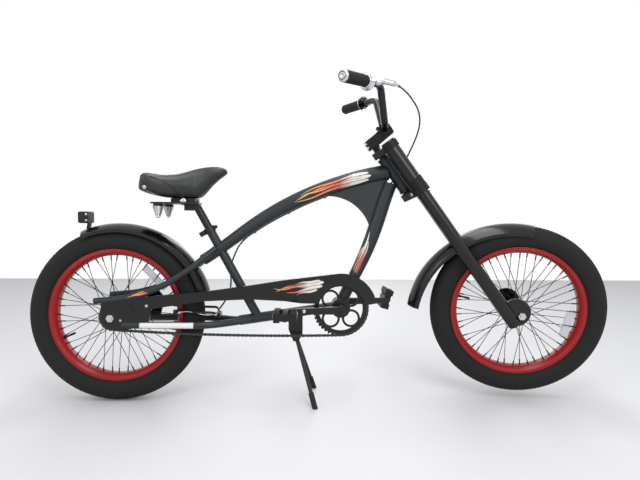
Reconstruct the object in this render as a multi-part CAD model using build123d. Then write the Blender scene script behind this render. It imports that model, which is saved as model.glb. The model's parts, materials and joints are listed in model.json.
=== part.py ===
from build123d import *
from math import asin, atan2, cos, degrees, hypot, pi, radians, sin, sqrt, tan
import os

# A chopper bicycle, parked on its double-leg stand and its rear tyre, front tyre just off the floor.
# Model frame: X forward, Y to the rider's left, Z up, floor at Z = 0, X = 0 midway between the axles.
# Everything is drawn with X = 0 at the rear axle, which lies at the datum's height, and is moved back
# by half the wheelbase and set on its tyre when written.

# Whole bicycle
WHEELBASE = 1279
FRONT_LIFT = 20
AXLE_DATUM = 274
HEAD_ANGLE = 54
PARKED_STEER = 11.1
RUNNING = 0.05
SEAT_GAP = 0.3

# Tyres and rims
TYRE_RADIUS = 274
TYRE_WIDTH = 76
TYRE_WALL = 5
RIM_BITE = 12
RIM_WIDTH = 50
RIM_WALL = 2.6
BEAD_DEPTH = 7
RIM_DEPTH = 21
RIM_FLOOR_WIDTH = 24

# Spokes and hubs
SPOKE_COUNT = 48
SPOKE_THICK = 2.4
SPOKE_LACE = 42
FLANGE_HALF = 31
FLANGE_THICK = 4
FRONT_SHELL_RADIUS = 17
FRONT_FLANGE_RADIUS = 30
REAR_SHELL_RADIUS = 27
REAR_FLANGE_RADIUS = 38
HUB_END_RADIUS = 12

# Axles
AXLE_RADIUS = 6
NUT_RADIUS = 12
NUT_THICK = 8
AXLE_TIP = 6
HUB_END_GAP = 0.6
CONE_RADIUS = 11

# Frame tubes
TUBE_WALL = 2
HEAD_TUBE_RADIUS = 20
HEAD_TUBE_LENGTH = 112
STEERER_RADIUS = 12.7
CUP_RADIUS = 21.5
CUP_HEIGHT = 9
BEAM_FRONT_RADIUS = 25
BEAM_REAR_RADIUS = 18
BEAM_TAIL_ANGLE = 34.25
BEAM_TAIL_GAP = 21.5
DOWN_TUBE_TOP_RADIUS = 23
DOWN_TUBE_FOOT_RADIUS = 19
GUSSET_THICK = 14
LOWER_TUBE_RADIUS = 16
SEAT_TUBE_RADIUS = 14.3
SEAT_TUBE_RISE = 72
SEAT_ANGLE = 61.2
SEAT_FOOT_X = 445
CHAIN_STAY_RADIUS = 11
SEAT_STAY_RADIUS = 9.5
STAY_WALL = 1.6

# Bottom bracket and cranks
BRACKET_X = 706
BRACKET_Z = 302
SHELL_RADIUS = 25
SHELL_WIDTH = 73
SPINDLE_RADIUS = 10
CUP_LIP = 4
CRANK_LENGTH = 170
CRANK_ANGLE = 181.5
ARM_THICK = 12
ARM_GAP = 5.5
PEDAL_AXLE_RADIUS = 7
PEDAL_LENGTH = 66
PEDAL_WIDTH = 86
PEDAL_THICK = 28
LEFT_PEDAL_TILT = 72
RIGHT_PEDAL_TILT = 0

# Chain drive
CHAIN_PITCH = 12.7
RING_TEETH = 42
SPROCKET_TEETH = 20
RING_OUT = 10.5
CHAIN_TO_DROPOUT = 17
PLATE_THICK = 2.4
LINK_GAP = 0.5
CHAIN_WIDTH = 7.6
LINK_HEIGHT = 8.4
LINK_WAIST = 6
TOOTH_RISE = 2.6
TOOTH_FALL = 3.6
CHAIN_SAG = 8
RING_HOLE_RADIUS = 22
RING_HOLE_OFFSET = 45
RING_BAND = 5.5
RING_RIM = 13

# Chain guard
GUARD_WALL = 1.5
GUARD_DEPTH = 12
GUARD_RADIUS = 112
GUARD_CUTOUT = 75

# Dropouts, stays and seat post
DROPOUT_THICK = 6
STAY_INSET = 2
TAIL_REACH = 110
TAIL_Z = 254
BRAKE_REACH = 44
DRIVER_RADIUS = 18
POST_RADIUS = 12.7
POST_DEPTH = 90
POST_RISE = 105
POST_DROP = 8

# Fork
FORK_REACH = 585
FORK_OFFSET = 69.5
LEG_OFFSET = 37
LEG_GAP = 8
LEG_RADIUS = 20
STANCHION_RADIUS = 18.5
LEG_WALL = 3
COVER_RADIUS = 23.5
SLEEVE_RADIUS = 26
LEG_FOOT = 17
CROWN_THICK = 22

# Stem and handlebar
BAR_RADIUS = 11.1
BAR_TURN = 4.8
STEM_RISE = 136
STEM_REACH = 54
STEM_HEIGHT = 33
GRIP_RADIUS = 17
GRIP_LENGTH = 112
RING_RADIUS = 26

BAR_SHOULDER = (102, 128, 241)
BAR_END = (9, 291, 297)
BAR_BENDS = [44, 44, 44, 44]
LEVER_NOSE = (134.5, -161, 206)
LEVER_PIVOT = (105, -177, 238)
LEVER_BALL = (79.6, -265, 230)
STEM_TOP = 139
CROWN_LEVEL = 70
SLEEVE_HEIGHT = 50

# Brake cable: the outer's radius, its route beside the frame and its loop in the bar's frame
CABLE_RADIUS = 2.5
CABLE_CLEAR = 4
CLIP_WALL = 1.8
CLIP_LENGTH = 8
CABLE_BAR = [
    (134.5, -161, 206),
    (151, -122, 186),
    (163, -74, 157),
    (169.5, -32, 125),
    (164, 4, 96),
    (146, 26, 71),
    (110, 33, 45),
    (66, 31.8, 21),
    (23.5, 30.2, -1.1),
]
CABLE_PAST = (0, 29.3, -13.3)
CABLE_DOWN = [
    (350, 25, 425),
    (354, 26, 360),
    (334, 26, 312),
    (316, 26, 287),
]

# Saddle
SADDLE_BASE = 2
CARRIER_DROP = 18
CARRIER_THICK = 5
SPRING_LENGTH = 44
CLAMP_BOLT_RADIUS = 11

# Wheel details, as turns about each axle
REFLECTOR_INSET = 23
FRONT_VALVE = 168
REAR_VALVE = -156
FRONT_REFLECTOR = -14
REAR_REFLECTOR = 45

# Fenders
FENDER_WALL = 1.5
FENDER_SIDE_GAP = 5
REAR_FENDER_GAP = 19
FRONT_FENDER_GAP = 51
REAR_FENDER_DROP = 28
FRONT_FENDER_DROP = 35

REAR_FENDER_AHEAD = 8
REAR_FENDER_DOWN = 3
REAR_FENDER_TAIL = 113
FRONT_FENDER_BACK = -48
FRONT_FENDER_DOWN = -20

# Stand
STAND_CHEEK = 24
STAND_X = 566
STAND_Z = 204
STAND_REACH = 61
STAND_SPREAD = 92
STAND_LEG_RADIUS = 6
STAND_FOOT_RADIUS = 8.5
STAND_FOOT_LENGTH = 24
STAND_PIN_RADIUS = 5

# Values that follow from the sizes above
REAR_AXLE_Z = AXLE_DATUM
FRONT_AXLE_Z = AXLE_DATUM + FRONT_LIFT
FLOOR_Z = AXLE_DATUM - TYRE_RADIUS
RIM_RADIUS = TYRE_RADIUS - TYRE_WIDTH + RIM_BITE
REFLECTOR_OFFSET = RIM_RADIUS - RIM_DEPTH - REFLECTOR_INSET
LEG_SPREAD = TYRE_WIDTH / 2 + LEG_GAP + LEG_RADIUS
CHAIN_LINE = SHELL_WIDTH / 2 + RING_OUT
DROPOUT_HALF = CHAIN_LINE + CHAIN_TO_DROPOUT
STAY_HALF = DROPOUT_HALF - STAY_INSET
LOWER_TAIL = (TYRE_RADIUS + TAIL_REACH, TAIL_Z)
BRAKE_X = TYRE_RADIUS + BRAKE_REACH
FENDER_HALF_WIDTH = TYRE_WIDTH / 2 + FENDER_SIDE_GAP
REAR_FENDER_RADIUS = TYRE_RADIUS + REAR_FENDER_GAP
FRONT_FENDER_RADIUS = TYRE_RADIUS + FRONT_FENDER_GAP
REAR_FENDER_CENTRE = (REAR_FENDER_AHEAD, 0, REAR_AXLE_Z - REAR_FENDER_DOWN)
AXLE_UP = (-cos(radians(HEAD_ANGLE)), sin(radians(HEAD_ANGLE)))
AXLE_OUT = (sin(radians(HEAD_ANGLE)), cos(radians(HEAD_ANGLE)))
HEAD_X = WHEELBASE - FORK_REACH * -AXLE_UP[0] - FORK_OFFSET * AXLE_OUT[0]
HEAD_Z = FRONT_AXLE_Z + FORK_REACH * AXLE_UP[1] - FORK_OFFSET * AXLE_OUT[1]
DROPOUT_INNER = DROPOUT_HALF - DROPOUT_THICK / 2
DROPOUT_OUTER = DROPOUT_HALF + DROPOUT_THICK / 2
FORK_PLATE_OUTER = LEG_SPREAD + DROPOUT_THICK / 2
RING_PITCH_RADIUS = CHAIN_PITCH / 2 / sin(pi / RING_TEETH)
SPROCKET_PITCH_RADIUS = CHAIN_PITCH / 2 / sin(pi / SPROCKET_TEETH)
GUARD_INNER = DROPOUT_OUTER + SEAT_GAP
GUARD_OUTER = GUARD_INNER + GUARD_WALL
ARM_INNER = GUARD_OUTER + ARM_GAP
ARM_OUTER = ARM_INNER + ARM_THICK
PEDAL_INNER = ARM_OUTER + 6
PEDAL_OUTER = PEDAL_INNER + PEDAL_WIDTH
STEER = Plane(
    origin=(HEAD_X, 0, HEAD_Z),
    x_dir=(AXLE_OUT[0], 0, AXLE_OUT[1]),
    z_dir=(AXLE_UP[0], 0, AXLE_UP[1]),
)
STEERED = STEER.location * Location((0, 0, 0), (0, 0, -PARKED_STEER))
BAR_PLACE = STEERED * Location((0, 0, 0), (0, 0, BAR_TURN))
FRONT_HUB = Location((FORK_OFFSET, 0, -FORK_REACH), (0, 90 - HEAD_ANGLE, 0))
REAR_HUB = Location((0, 0, REAR_AXLE_Z))
TO_CENTRE = Location((-WHEELBASE / 2, 0, -FLOOR_Z))


def bar_y(x, z, y_from, y_to, radius):
    """A round bar along Y."""
    middle = Location((x, (y_from + y_to) / 2, z), (90, 0, 0))
    return middle * Cylinder(radius, abs(y_to - y_from))


def slab(outline, y_from, y_to):
    """A face drawn in X and Z, given thickness from one Y to another."""
    low, high = min(y_from, y_to), max(y_from, y_to)
    face = Plane(origin=(0, high, 0), x_dir=(1, 0, 0), z_dir=(0, -1, 0)) * outline
    return extrude(face, high - low, dir=(0, -1, 0))


def rod(points, radii, radius):
    """A round rod along straight runs joined by tangent arcs."""
    path = FilletPolyline(*points, radius=radii) if len(points) > 2 else Line(*points)
    return sweep(Plane(path @ 0, z_dir=path % 0) * Circle(radius), path=path)


def between(start, end, radius):
    """A cylinder from one point to another."""
    along = end - start
    return Plane(origin=(start + end) / 2, z_dir=along) * Cylinder(radius, along.length)


def round_loft(stations):
    """A round tube through (x, z, slope in degrees, radius) stations in the middle plane."""
    rings = []
    for x, z, slope, radius in stations:
        along = (cos(radians(slope)), 0, sin(radians(slope)))
        rings.append(Plane(origin=(x, 0, z), x_dir=(0, 1, 0), z_dir=along) * Circle(radius))
    return loft(rings)


def shrink(stations, wall):
    """The same stations for the bore of a tube with this wall."""
    return [(x, z, slope, radius - wall) for x, z, slope, radius in stations]


def tyre():
    """A balloon tyre about the Y axis: an open round section whose two beads sit on the rim."""
    half = TYRE_WIDTH / 2
    centre = TYRE_RADIUS - half
    bead_r = RIM_RADIUS - BEAD_DEPTH + SEAT_GAP
    bead_y = RIM_WIDTH / 2 - RIM_WALL - SEAT_GAP
    inner = half - TYRE_WALL
    inner_bead_y = bead_y - TYRE_WALL
    inner_turn = sqrt(inner**2 - inner_bead_y**2)
    over_rim = RIM_RADIUS + 2
    flare = sqrt(half**2 - (centre - over_rim) ** 2)
    with BuildSketch(Plane.XY) as section:
        with BuildLine():
            a = (RIM_RADIUS + SEAT_GAP, bead_y)
            b = (RIM_RADIUS + SEAT_GAP, -bead_y)
            Line(a, (over_rim, flare))
            ThreePointArc((over_rim, flare), (TYRE_RADIUS, 0), (over_rim, -flare))
            Line((over_rim, -flare), b)
            c = (centre - inner_turn, -inner_bead_y)
            d = (centre - inner_turn, inner_bead_y)
            Line(b, (bead_r, -bead_y))
            Line((bead_r, -bead_y), (bead_r, -inner_bead_y))
            Line((bead_r, -inner_bead_y), c)
            ThreePointArc(c, (centre + inner, 0), d)
            Line(d, (bead_r, inner_bead_y))
            Line((bead_r, inner_bead_y), (bead_r, bead_y))
            Line((bead_r, bead_y), a)
        make_face()
    return revolve(section.sketch, axis=Axis.Y)


def rim():
    """A wide rim about the Y axis: two flanges, bead seats, a drop well and a spoke bed."""
    half = RIM_WIDTH / 2
    seat = RIM_RADIUS - BEAD_DEPTH
    floor = RIM_RADIUS - RIM_DEPTH
    well = half - RIM_WALL - 12
    profile = [
        (RIM_RADIUS, half),
        (RIM_RADIUS, half - RIM_WALL),
        (seat, half - RIM_WALL),
        (seat, well),
        (seat - 5, well - 3),
        (seat - 5, -well + 3),
        (seat, -well),
        (seat, -half + RIM_WALL),
        (RIM_RADIUS, -half + RIM_WALL),
        (RIM_RADIUS, -half),
        (RIM_RADIUS - 11, -half),
        (floor, -RIM_FLOOR_WIDTH / 2),
        (floor, RIM_FLOOR_WIDTH / 2),
        (RIM_RADIUS - 11, half),
    ]
    return revolve(make_face(Polyline(*profile, close=True)), axis=Axis.Y)


def hub(shell_radius, flange_radius, half_length, end_radius):
    """A hub about the Y axis with two spoke flanges and a bore that runs on the axle."""
    body = Cylinder(end_radius, 2 * half_length)
    body += Cylinder(shell_radius, 2 * FLANGE_HALF)
    for side in (-1, 1):
        body += Pos(0, 0, side * FLANGE_HALF) * Cylinder(flange_radius, FLANGE_THICK)
    body -= Cylinder(AXLE_RADIUS + RUNNING, 2 * half_length + 2)
    return Rot(90, 0, 0) * body


def spoke_rods(flange_radius, thickness):
    """Crossed spokes about the Y axis, from the flanges' rims to the rim's bed."""
    hole_r = flange_radius - 3
    rim_r = RIM_RADIUS - RIM_DEPTH - 0.4
    made = []
    for k in range(SPOKE_COUNT):
        side = 1 if k % 2 else -1
        turn = 1 if k % 4 < 2 else -1
        at_rim = radians(k * 360 / SPOKE_COUNT)
        at_hub = at_rim + turn * radians(SPOKE_LACE)
        face = FLANGE_HALF + turn * (FLANGE_THICK + SPOKE_THICK) / 2
        start = Vector(hole_r * cos(at_hub), side * face, hole_r * sin(at_hub))
        end = Vector(rim_r * cos(at_rim), side * 5, rim_r * sin(at_rim))
        along = end - start
        section = Plane(origin=start, z_dir=along) * RegularPolygon(thickness / 2, 6)
        made.append(extrude(section, along.length, dir=along.normalized()))
    return made


def axle(inner_half, outer_half):
    """A threaded axle along Y with two bearing cones inside and two hexagon nuts outside."""
    body = Cylinder(AXLE_RADIUS, 2 * (outer_half + NUT_THICK + AXLE_TIP))
    for side in (-1, 1):
        cone_length = inner_half - hub_half(inner_half) - HUB_END_GAP
        middle = inner_half - cone_length / 2
        body += Pos(0, 0, side * middle) * Cylinder(CONE_RADIUS, cone_length)
        nut = extrude(RegularPolygon(NUT_RADIUS, 6), NUT_THICK)
        low = outer_half if side > 0 else -outer_half - NUT_THICK
        body += Pos(0, 0, low) * nut
    return Rot(90, 0, 0) * body


def hub_half(inner_half):
    """Half the length of a hub that runs between two dropouts this far apart."""
    return inner_half - 8


def beam_stations():
    """The main beam's centre line, from its tail behind the seat tube to the head tube."""
    tail_x, tail_z = fender_point(BEAM_TAIL_ANGLE, BEAM_TAIL_GAP)
    rise = (HEAD_Z - 2 - tail_z) / (HEAD_X - 24 - tail_x)
    return [
        (tail_x, tail_z, 35, BEAM_REAR_RADIUS),
        (372, 521, 35, BEAM_REAR_RADIUS + 1),
        (470, 588, 32.5, BEAM_REAR_RADIUS + 3.5),
        (590, 651, 24 * rise / 0.474, BEAM_FRONT_RADIUS - 1),
        (735, 705, 18, BEAM_FRONT_RADIUS),
        (HEAD_X - 24, HEAD_Z + 6, 14, BEAM_FRONT_RADIUS),
    ]


def fender_point(angle, gap=0):
    """A point in the middle plane at an angle round the rear fender, this far outside its crown."""
    reach, turn = REAR_FENDER_RADIUS + gap, radians(angle)
    return REAR_FENDER_CENTRE[0] + reach * cos(turn), REAR_FENDER_CENTRE[2] + reach * sin(turn)


def down_stations():
    """The down tube's centre line, from the head tube down to the bottom bracket shell."""
    return [
        (HEAD_X - 14, HEAD_Z - 30, -104, DOWN_TUBE_TOP_RADIUS),
        (823, 571, -106, DOWN_TUBE_TOP_RADIUS),
        (796, 494, -112, DOWN_TUBE_FOOT_RADIUS + 2.5),
        (753, 400, -115.5, DOWN_TUBE_FOOT_RADIUS),
        (BRACKET_X + 8, BRACKET_Z + 17, -115.5, DOWN_TUBE_FOOT_RADIUS),
    ]


def head_cylinder(radius, low, high):
    """A cylinder on the steering axis between two heights along it."""
    return STEER.location * (Pos(0, 0, (low + high) / 2) * Cylinder(radius, high - low))


def spine():
    """Head tube, main beam, gusset web, down tube and bottom bracket shell, welded in one."""
    half = HEAD_TUBE_LENGTH / 2
    web = make_face(
        Polyline((640, 652), (HEAD_X - 20, HEAD_Z - 10), (805, 545))
        + Line((805, 545), (797, 566))
        + ThreePointArc((797, 566), (752, 626), (640, 652))
    )
    shell = bar_y(BRACKET_X, BRACKET_Z, -SHELL_WIDTH / 2, SHELL_WIDTH / 2, SHELL_RADIUS)
    outer = round_loft(beam_stations()) + round_loft(down_stations())
    bore = round_loft(shrink(beam_stations(), TUBE_WALL))
    bore += round_loft(shrink(down_stations(), TUBE_WALL))
    frame = outer + slab(web, -GUSSET_THICK / 2, GUSSET_THICK / 2) - bore
    frame += head_cylinder(HEAD_TUBE_RADIUS, -half, half)
    frame -= head_cylinder(STEERER_RADIUS + 3.5, -half - 1, half + 1)
    frame += shell
    frame -= bar_y(BRACKET_X, BRACKET_Z, -SHELL_WIDTH, SHELL_WIDTH, SHELL_RADIUS - 3)
    frame -= seat_cylinder(SEAT_TUBE_RADIUS, 0, SEAT_TUBE_LENGTH)
    return frame.solids().sort_by(SortBy.VOLUME)[-1]


def seat_line(distance, out=0):
    """A point on the seat tube's axis, this far up from the lower tube, and out in front of it."""
    turn = radians(SEAT_ANGLE)
    x = SEAT_FOOT_X - cos(turn) * distance + sin(turn) * out
    z = lower_line(SEAT_FOOT_X) + sin(turn) * distance + cos(turn) * out
    return Vector(x, 0, z)


def seat_crossing():
    """How far up the seat tube's axis crosses the main beam's."""
    first, second = beam_stations()[:2]
    slope = (second[1] - first[1]) / (second[0] - first[0])
    foot = lower_line(SEAT_FOOT_X)
    turn = radians(SEAT_ANGLE)
    return (first[1] + slope * (SEAT_FOOT_X - first[0]) - foot) / (sin(turn) + slope * cos(turn))


def lower_line(x):
    """Height of the lower tube's centre line at this X."""
    slope = (BRACKET_Z - LOWER_TAIL[1]) / (BRACKET_X - LOWER_TAIL[0])
    return LOWER_TAIL[1] + (x - LOWER_TAIL[0]) * slope


def seat_cylinder(radius, low, high):
    """A cylinder on the seat tube's axis between two distances along it."""
    along = seat_line(1) - seat_line(0)
    return Plane(origin=seat_line((low + high) / 2), z_dir=along) * Cylinder(radius, high - low)


def lower_tube_solid(radius):
    """A cylinder from the chain stays' meeting point to the bottom bracket."""
    start = Vector(LOWER_TAIL[0], 0, LOWER_TAIL[1])
    end = Vector(BRACKET_X, 0, BRACKET_Z)
    along = end - start
    return Plane(origin=(start + end) / 2, z_dir=along) * Cylinder(radius, along.length)


def shell_solid():
    """The bottom bracket shell without its bore."""
    return bar_y(BRACKET_X, BRACKET_Z, -SHELL_WIDTH / 2, SHELL_WIDTH / 2, SHELL_RADIUS)


def lower_tube():
    """The single tube that carries the seat tube and the stand, from the stays to the shell."""
    tube = lower_tube_solid(LOWER_TUBE_RADIUS) - lower_tube_solid(LOWER_TUBE_RADIUS - TUBE_WALL)
    return (tube - shell_solid()).solids().sort_by(Axis.X)[0]


def seat_tube():
    """The seat tube, mitred on the lower tube and running through the beam's tail."""
    tube = seat_cylinder(SEAT_TUBE_RADIUS, -20, SEAT_TUBE_LENGTH)
    tube -= seat_cylinder(POST_RADIUS + RUNNING, -21, SEAT_TUBE_LENGTH + 1)
    return (tube - lower_tube_solid(LOWER_TUBE_RADIUS)).solids().sort_by(Axis.Z)[-1]


def seat_post():
    """The seat post, clamped in the seat tube, with the saddle's clamp on its top."""
    top = POST_TOP - POST_DROP
    post = seat_cylinder(POST_RADIUS, SEAT_TUBE_LENGTH - POST_DEPTH, top)
    return post - seat_cylinder(POST_RADIUS - TUBE_WALL, 0, top - 6)


def seat_collar():
    """The collar at the top of the seat tube, split behind and drawn together by a bolt."""
    low, high = SEAT_TUBE_LENGTH - 14, SEAT_TUBE_LENGTH + 3
    middle = (low + high) / 2
    ring = seat_cylinder(SEAT_TUBE_RADIUS + 4, low, high)
    ear = Plane(origin=seat_line(middle, -22), z_dir=seat_line(1) - seat_line(0)) * Box(26, 15, 15)
    nose = Plane(origin=seat_line(middle, 20), z_dir=seat_line(1) - seat_line(0)) * Box(12, 10, 10)
    collar = ring + ear + nose
    collar -= seat_cylinder(SEAT_TUBE_RADIUS, 0, SEAT_TUBE_LENGTH)
    collar -= seat_cylinder(POST_RADIUS + RUNNING, 0, POST_TOP)
    slot = Plane(origin=seat_line(middle, -24), z_dir=seat_line(1) - seat_line(0)) * Box(32, 3, 30)
    return collar - slot


def chain_stay_rod(side, radius):
    """A rod along a chain stay's centre line."""
    y = side * STAY_HALF
    x, z = LOWER_TAIL
    points = [(34, y, z - 2), (x - 92, y, z - 4), (x - 14, side * 17, z - 2), (x + 40, side * 9, z + 5)]
    return rod(points, [180, 60], radius)


def chain_stay(side):
    """One chain stay, from its dropout forward past the tyre and in to the lower tube."""
    outer = chain_stay_rod(side, CHAIN_STAY_RADIUS)
    inner = chain_stay_rod(side, CHAIN_STAY_RADIUS - STAY_WALL)
    stay = outer - inner - lower_tube_solid(LOWER_TUBE_RADIUS)
    stay -= slab(dropout_outline(), side * DROPOUT_INNER, side * DROPOUT_OUTER)
    half = Pos(300, side * 100, 250) * Box(800, 200 - SEAT_GAP, 200)
    return (stay & half).solids().sort_by(SortBy.VOLUME)[-1]


def seat_stay(side):
    """One seat stay, from the beam's tail out past the fender and back over the dropout."""
    points = [
        (312, side * 24, 487),
        (244, side * 57, 428),
        (168, side * (DROPOUT_HALF - 2), 379),
        (112, side * DROPOUT_HALF, 353),
        (34, side * DROPOUT_HALF, 334),
        (-50, side * DROPOUT_HALF, 326),
    ]
    radii = [110, 160, 220, 260]
    stay = rod(points, radii, SEAT_STAY_RADIUS) - rod(points, radii, SEAT_STAY_RADIUS - STAY_WALL)
    stay -= round_loft(beam_stations())
    stay -= slab(dropout_outline(), side * DROPOUT_INNER, side * DROPOUT_OUTER)
    return stay.solids().sort_by(SortBy.VOLUME)[-1]


def dropout_outline():
    """The rear dropout plate's side outline, between the ends of the two stays."""
    edge = Polyline((-30, 318), (-28, 262), (-8, 240), (34, 236), (112, 250), (124, 300))
    edge += Polyline((124, 300), (120, 328), (106, 346), (40, 331), (-30, 318))
    return fillet(make_face(edge).vertices(), 5)


def dropout(side):
    """One rear dropout: a plate with the axle's hole and a pressed round recess."""
    plate = slab(dropout_outline(), side * DROPOUT_INNER, side * DROPOUT_OUTER)
    plate -= bar_y(0, REAR_AXLE_Z, side * (DROPOUT_INNER - 9), side * (DROPOUT_OUTER + 9), AXLE_RADIUS)
    plate -= bar_y(76, 311, side * (DROPOUT_OUTER - 2), side * (DROPOUT_OUTER + 9), 16)
    return plate


def ring_disc(teeth, pitch_radius, phase):
    """A toothed disc about the Y axis, drawn tooth by tooth around its pitch circle."""
    root, tip = pitch_radius - TOOTH_FALL, pitch_radius + TOOTH_RISE
    step = 2 * pi / teeth
    outline = []
    for k in range(teeth):
        middle = phase + k * step
        for share, radius in ((-0.36, root), (-0.12, tip), (0.12, tip), (0.36, root)):
            angle = middle + share * step
            outline.append((radius * cos(angle), radius * sin(angle)))
    disc = make_face(Polyline(*outline, close=True))
    return slab(disc, -PLATE_THICK / 2, PLATE_THICK / 2)


def sprocket():
    """The rear sprocket about the Y axis, bored for the hub's driver."""
    disc = ring_disc(SPROCKET_TEETH, SPROCKET_PITCH_RADIUS, pi / SPROCKET_TEETH)
    disc -= bar_y(0, 0, -5, 5, DRIVER_RADIUS)
    return Pos(0, -CHAIN_LINE, 0) * disc


def chainring():
    """The chainring about the Y axis: four round openings in bands, with windows between."""
    ring = ring_disc(RING_TEETH, RING_PITCH_RADIUS, 0)
    window = Circle(RING_PITCH_RADIUS - RING_RIM) - Circle(RING_HOLE_OFFSET - 12)
    holes = Sketch()
    for k in range(4):
        turn = radians(45 + 90 * k)
        place = Pos(RING_HOLE_OFFSET * cos(turn), RING_HOLE_OFFSET * sin(turn))
        window -= place * Circle(RING_HOLE_RADIUS + RING_BAND)
        holes += place * Circle(RING_HOLE_RADIUS)
    for face in (window + holes).faces():
        ring -= slab(face, -5, 5)
    ring -= bar_y(0, 0, -5, 5, SPINDLE_RADIUS)
    return Pos(BRACKET_X, -CHAIN_LINE, BRACKET_Z) * ring


def chain_joints():
    """The chain's joints in the side view, walked once round the loop at an even pitch."""
    big, small = RING_PITCH_RADIUS, SPROCKET_PITCH_RADIUS
    span = hypot(BRACKET_X, BRACKET_Z - REAR_AXLE_Z)
    lean = asin((big - small) / span)
    tilt = atan2(BRACKET_Z - REAR_AXLE_Z, BRACKET_X)
    top, low = tilt + pi / 2 + lean, tilt - pi / 2 - lean
    run = sqrt(span**2 - (big - small) ** 2)
    wrap = big * (pi + 2 * lean)
    total = 2 * run + wrap + small * (pi - 2 * lean)
    count = 2 * round(total / CHAIN_PITCH / 2)

    def on_small(angle):
        return Vector(small * cos(angle), REAR_AXLE_Z + small * sin(angle))

    def on_big(angle):
        return Vector(BRACKET_X + big * cos(angle), BRACKET_Z + big * sin(angle))

    joints = []
    for k in range(count):
        travel = k * total / count
        if travel < run:
            joints.append(on_small(top) + (on_big(top) - on_small(top)) * (travel / run))
        elif travel < run + wrap:
            joints.append(on_big(top - (travel - run) / big))
        elif travel < 2 * run + wrap:
            share = (travel - run - wrap) / run
            drop = Vector(0, 4 * CHAIN_SAG * share * (1 - share))
            joints.append(on_big(low) + (on_small(low) - on_big(low)) * share - drop)
        else:
            joints.append(on_small(low - (travel - 2 * run - wrap) / small))
    return joints


def chain():
    """The chain as one closed loop with a waist in each link, slotted where teeth run in it."""
    joints = chain_joints()
    count = len(joints)
    edges = {1: [], -1: []}
    for k in range(count):
        here, after, before = joints[k], joints[(k + 1) % count], joints[k - 1]
        for side, edge in edges.items():
            out = (after - before).rotate(Axis.Z, 90).normalized() * side
            middle_out = (after - here).rotate(Axis.Z, 90).normalized() * side
            edge.append(here + out * (LINK_HEIGHT / 2))
            edge.append((here + after) / 2 + middle_out * (LINK_WAIST / 2))
    band = make_face(Polyline(*edges[1], close=True)) - make_face(Polyline(*edges[-1], close=True))
    loop = slab(band, -CHAIN_LINE - CHAIN_WIDTH / 2, -CHAIN_LINE + CHAIN_WIDTH / 2)
    slot = PLATE_THICK / 2 + LINK_GAP
    wheels = ((0, REAR_AXLE_Z, SPROCKET_PITCH_RADIUS), (BRACKET_X, BRACKET_Z, RING_PITCH_RADIUS))
    for x, z, radius in wheels:
        reach = radius + TOOTH_RISE + LINK_GAP
        loop -= bar_y(x, z, -CHAIN_LINE - slot, -CHAIN_LINE + slot, reach)
    return loop


def guard_outline():
    """The chain guard's side outline, rounded over the chainring and cut out around its middle."""
    arc_start, arc_end = radians(94), radians(10)
    top = [(112, 340), (287, 357), (424, 376), (531, 393), (644, 407)]

    def around(radius, angle):
        return (BRACKET_X + radius * cos(angle), BRACKET_Z + radius * sin(angle))

    start, end = around(GUARD_RADIUS, arc_start), around(GUARD_RADIUS, arc_end)
    inner_end, inner_start = around(GUARD_CUTOUT, arc_end), around(GUARD_CUTOUT, radians(166))
    edge = Polyline(*top, start)
    edge += ThreePointArc(start, around(GUARD_RADIUS, radians(52)), end)
    edge += Line(end, inner_end)
    edge += ThreePointArc(inner_end, around(GUARD_CUTOUT, radians(88)), inner_start)
    edge += Polyline(inner_start, (583, 321), (531, 328), (424, 333), (287, 327), (118, 302), (102, 320), top[0])
    return make_face(edge)


def chain_guard():
    """The chain guard: an outer plate whose top edge turns in over the chain."""
    outline = guard_outline()
    plate = slab(outline, -GUARD_INNER, -GUARD_OUTER)
    shelf = slab(outline, -GUARD_INNER + GUARD_DEPTH, -GUARD_INNER)
    core = Pos(0, 0, -GUARD_WALL) * shelf
    around_ring = bar_y(BRACKET_X, BRACKET_Z, -GUARD_INNER - 1, 0, GUARD_RADIUS - GUARD_WALL)
    front = Pos(BRACKET_X + 100, 0, BRACKET_Z) * Box(200, 200, 400)
    core += around_ring & front
    keep = Pos(132 + 500, 0, BRACKET_Z) * Box(1000, 300, 400)
    shelf = (shelf - core) & keep
    under = bar_y(BRACKET_X, BRACKET_Z, 0, -GUARD_INNER, GUARD_RADIUS - 14)
    return plate + (shelf - under)


def bracket_cups():
    """The two bearing cups pressed in the bottom bracket shell, in which the spindle runs."""
    made = []
    for side in (-1, 1):
        cup = bar_y(BRACKET_X, BRACKET_Z, side * (SHELL_WIDTH / 2 - 12), side * SHELL_WIDTH / 2, SHELL_RADIUS - 3)
        lip_end = side * (SHELL_WIDTH / 2 + CUP_LIP)
        cup += bar_y(BRACKET_X, BRACKET_Z, side * SHELL_WIDTH / 2, lip_end, SHELL_RADIUS - 1)
        made.append(cup - bar_y(BRACKET_X, BRACKET_Z, -100, 100, SPINDLE_RADIUS + RUNNING))
    return Compound(children=made)


def crank_arm(side, angle):
    """One crank arm, tapering from the spindle's boss to the pedal's."""
    turn = radians(angle)
    eye = Pos(CRANK_LENGTH * cos(turn), CRANK_LENGTH * sin(turn)) * Circle(12)
    blade = make_hull((Circle(16) + eye).edges())
    arm = slab(blade, side * ARM_INNER, side * ARM_OUTER)
    return Pos(BRACKET_X, 0, BRACKET_Z) * arm


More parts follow.
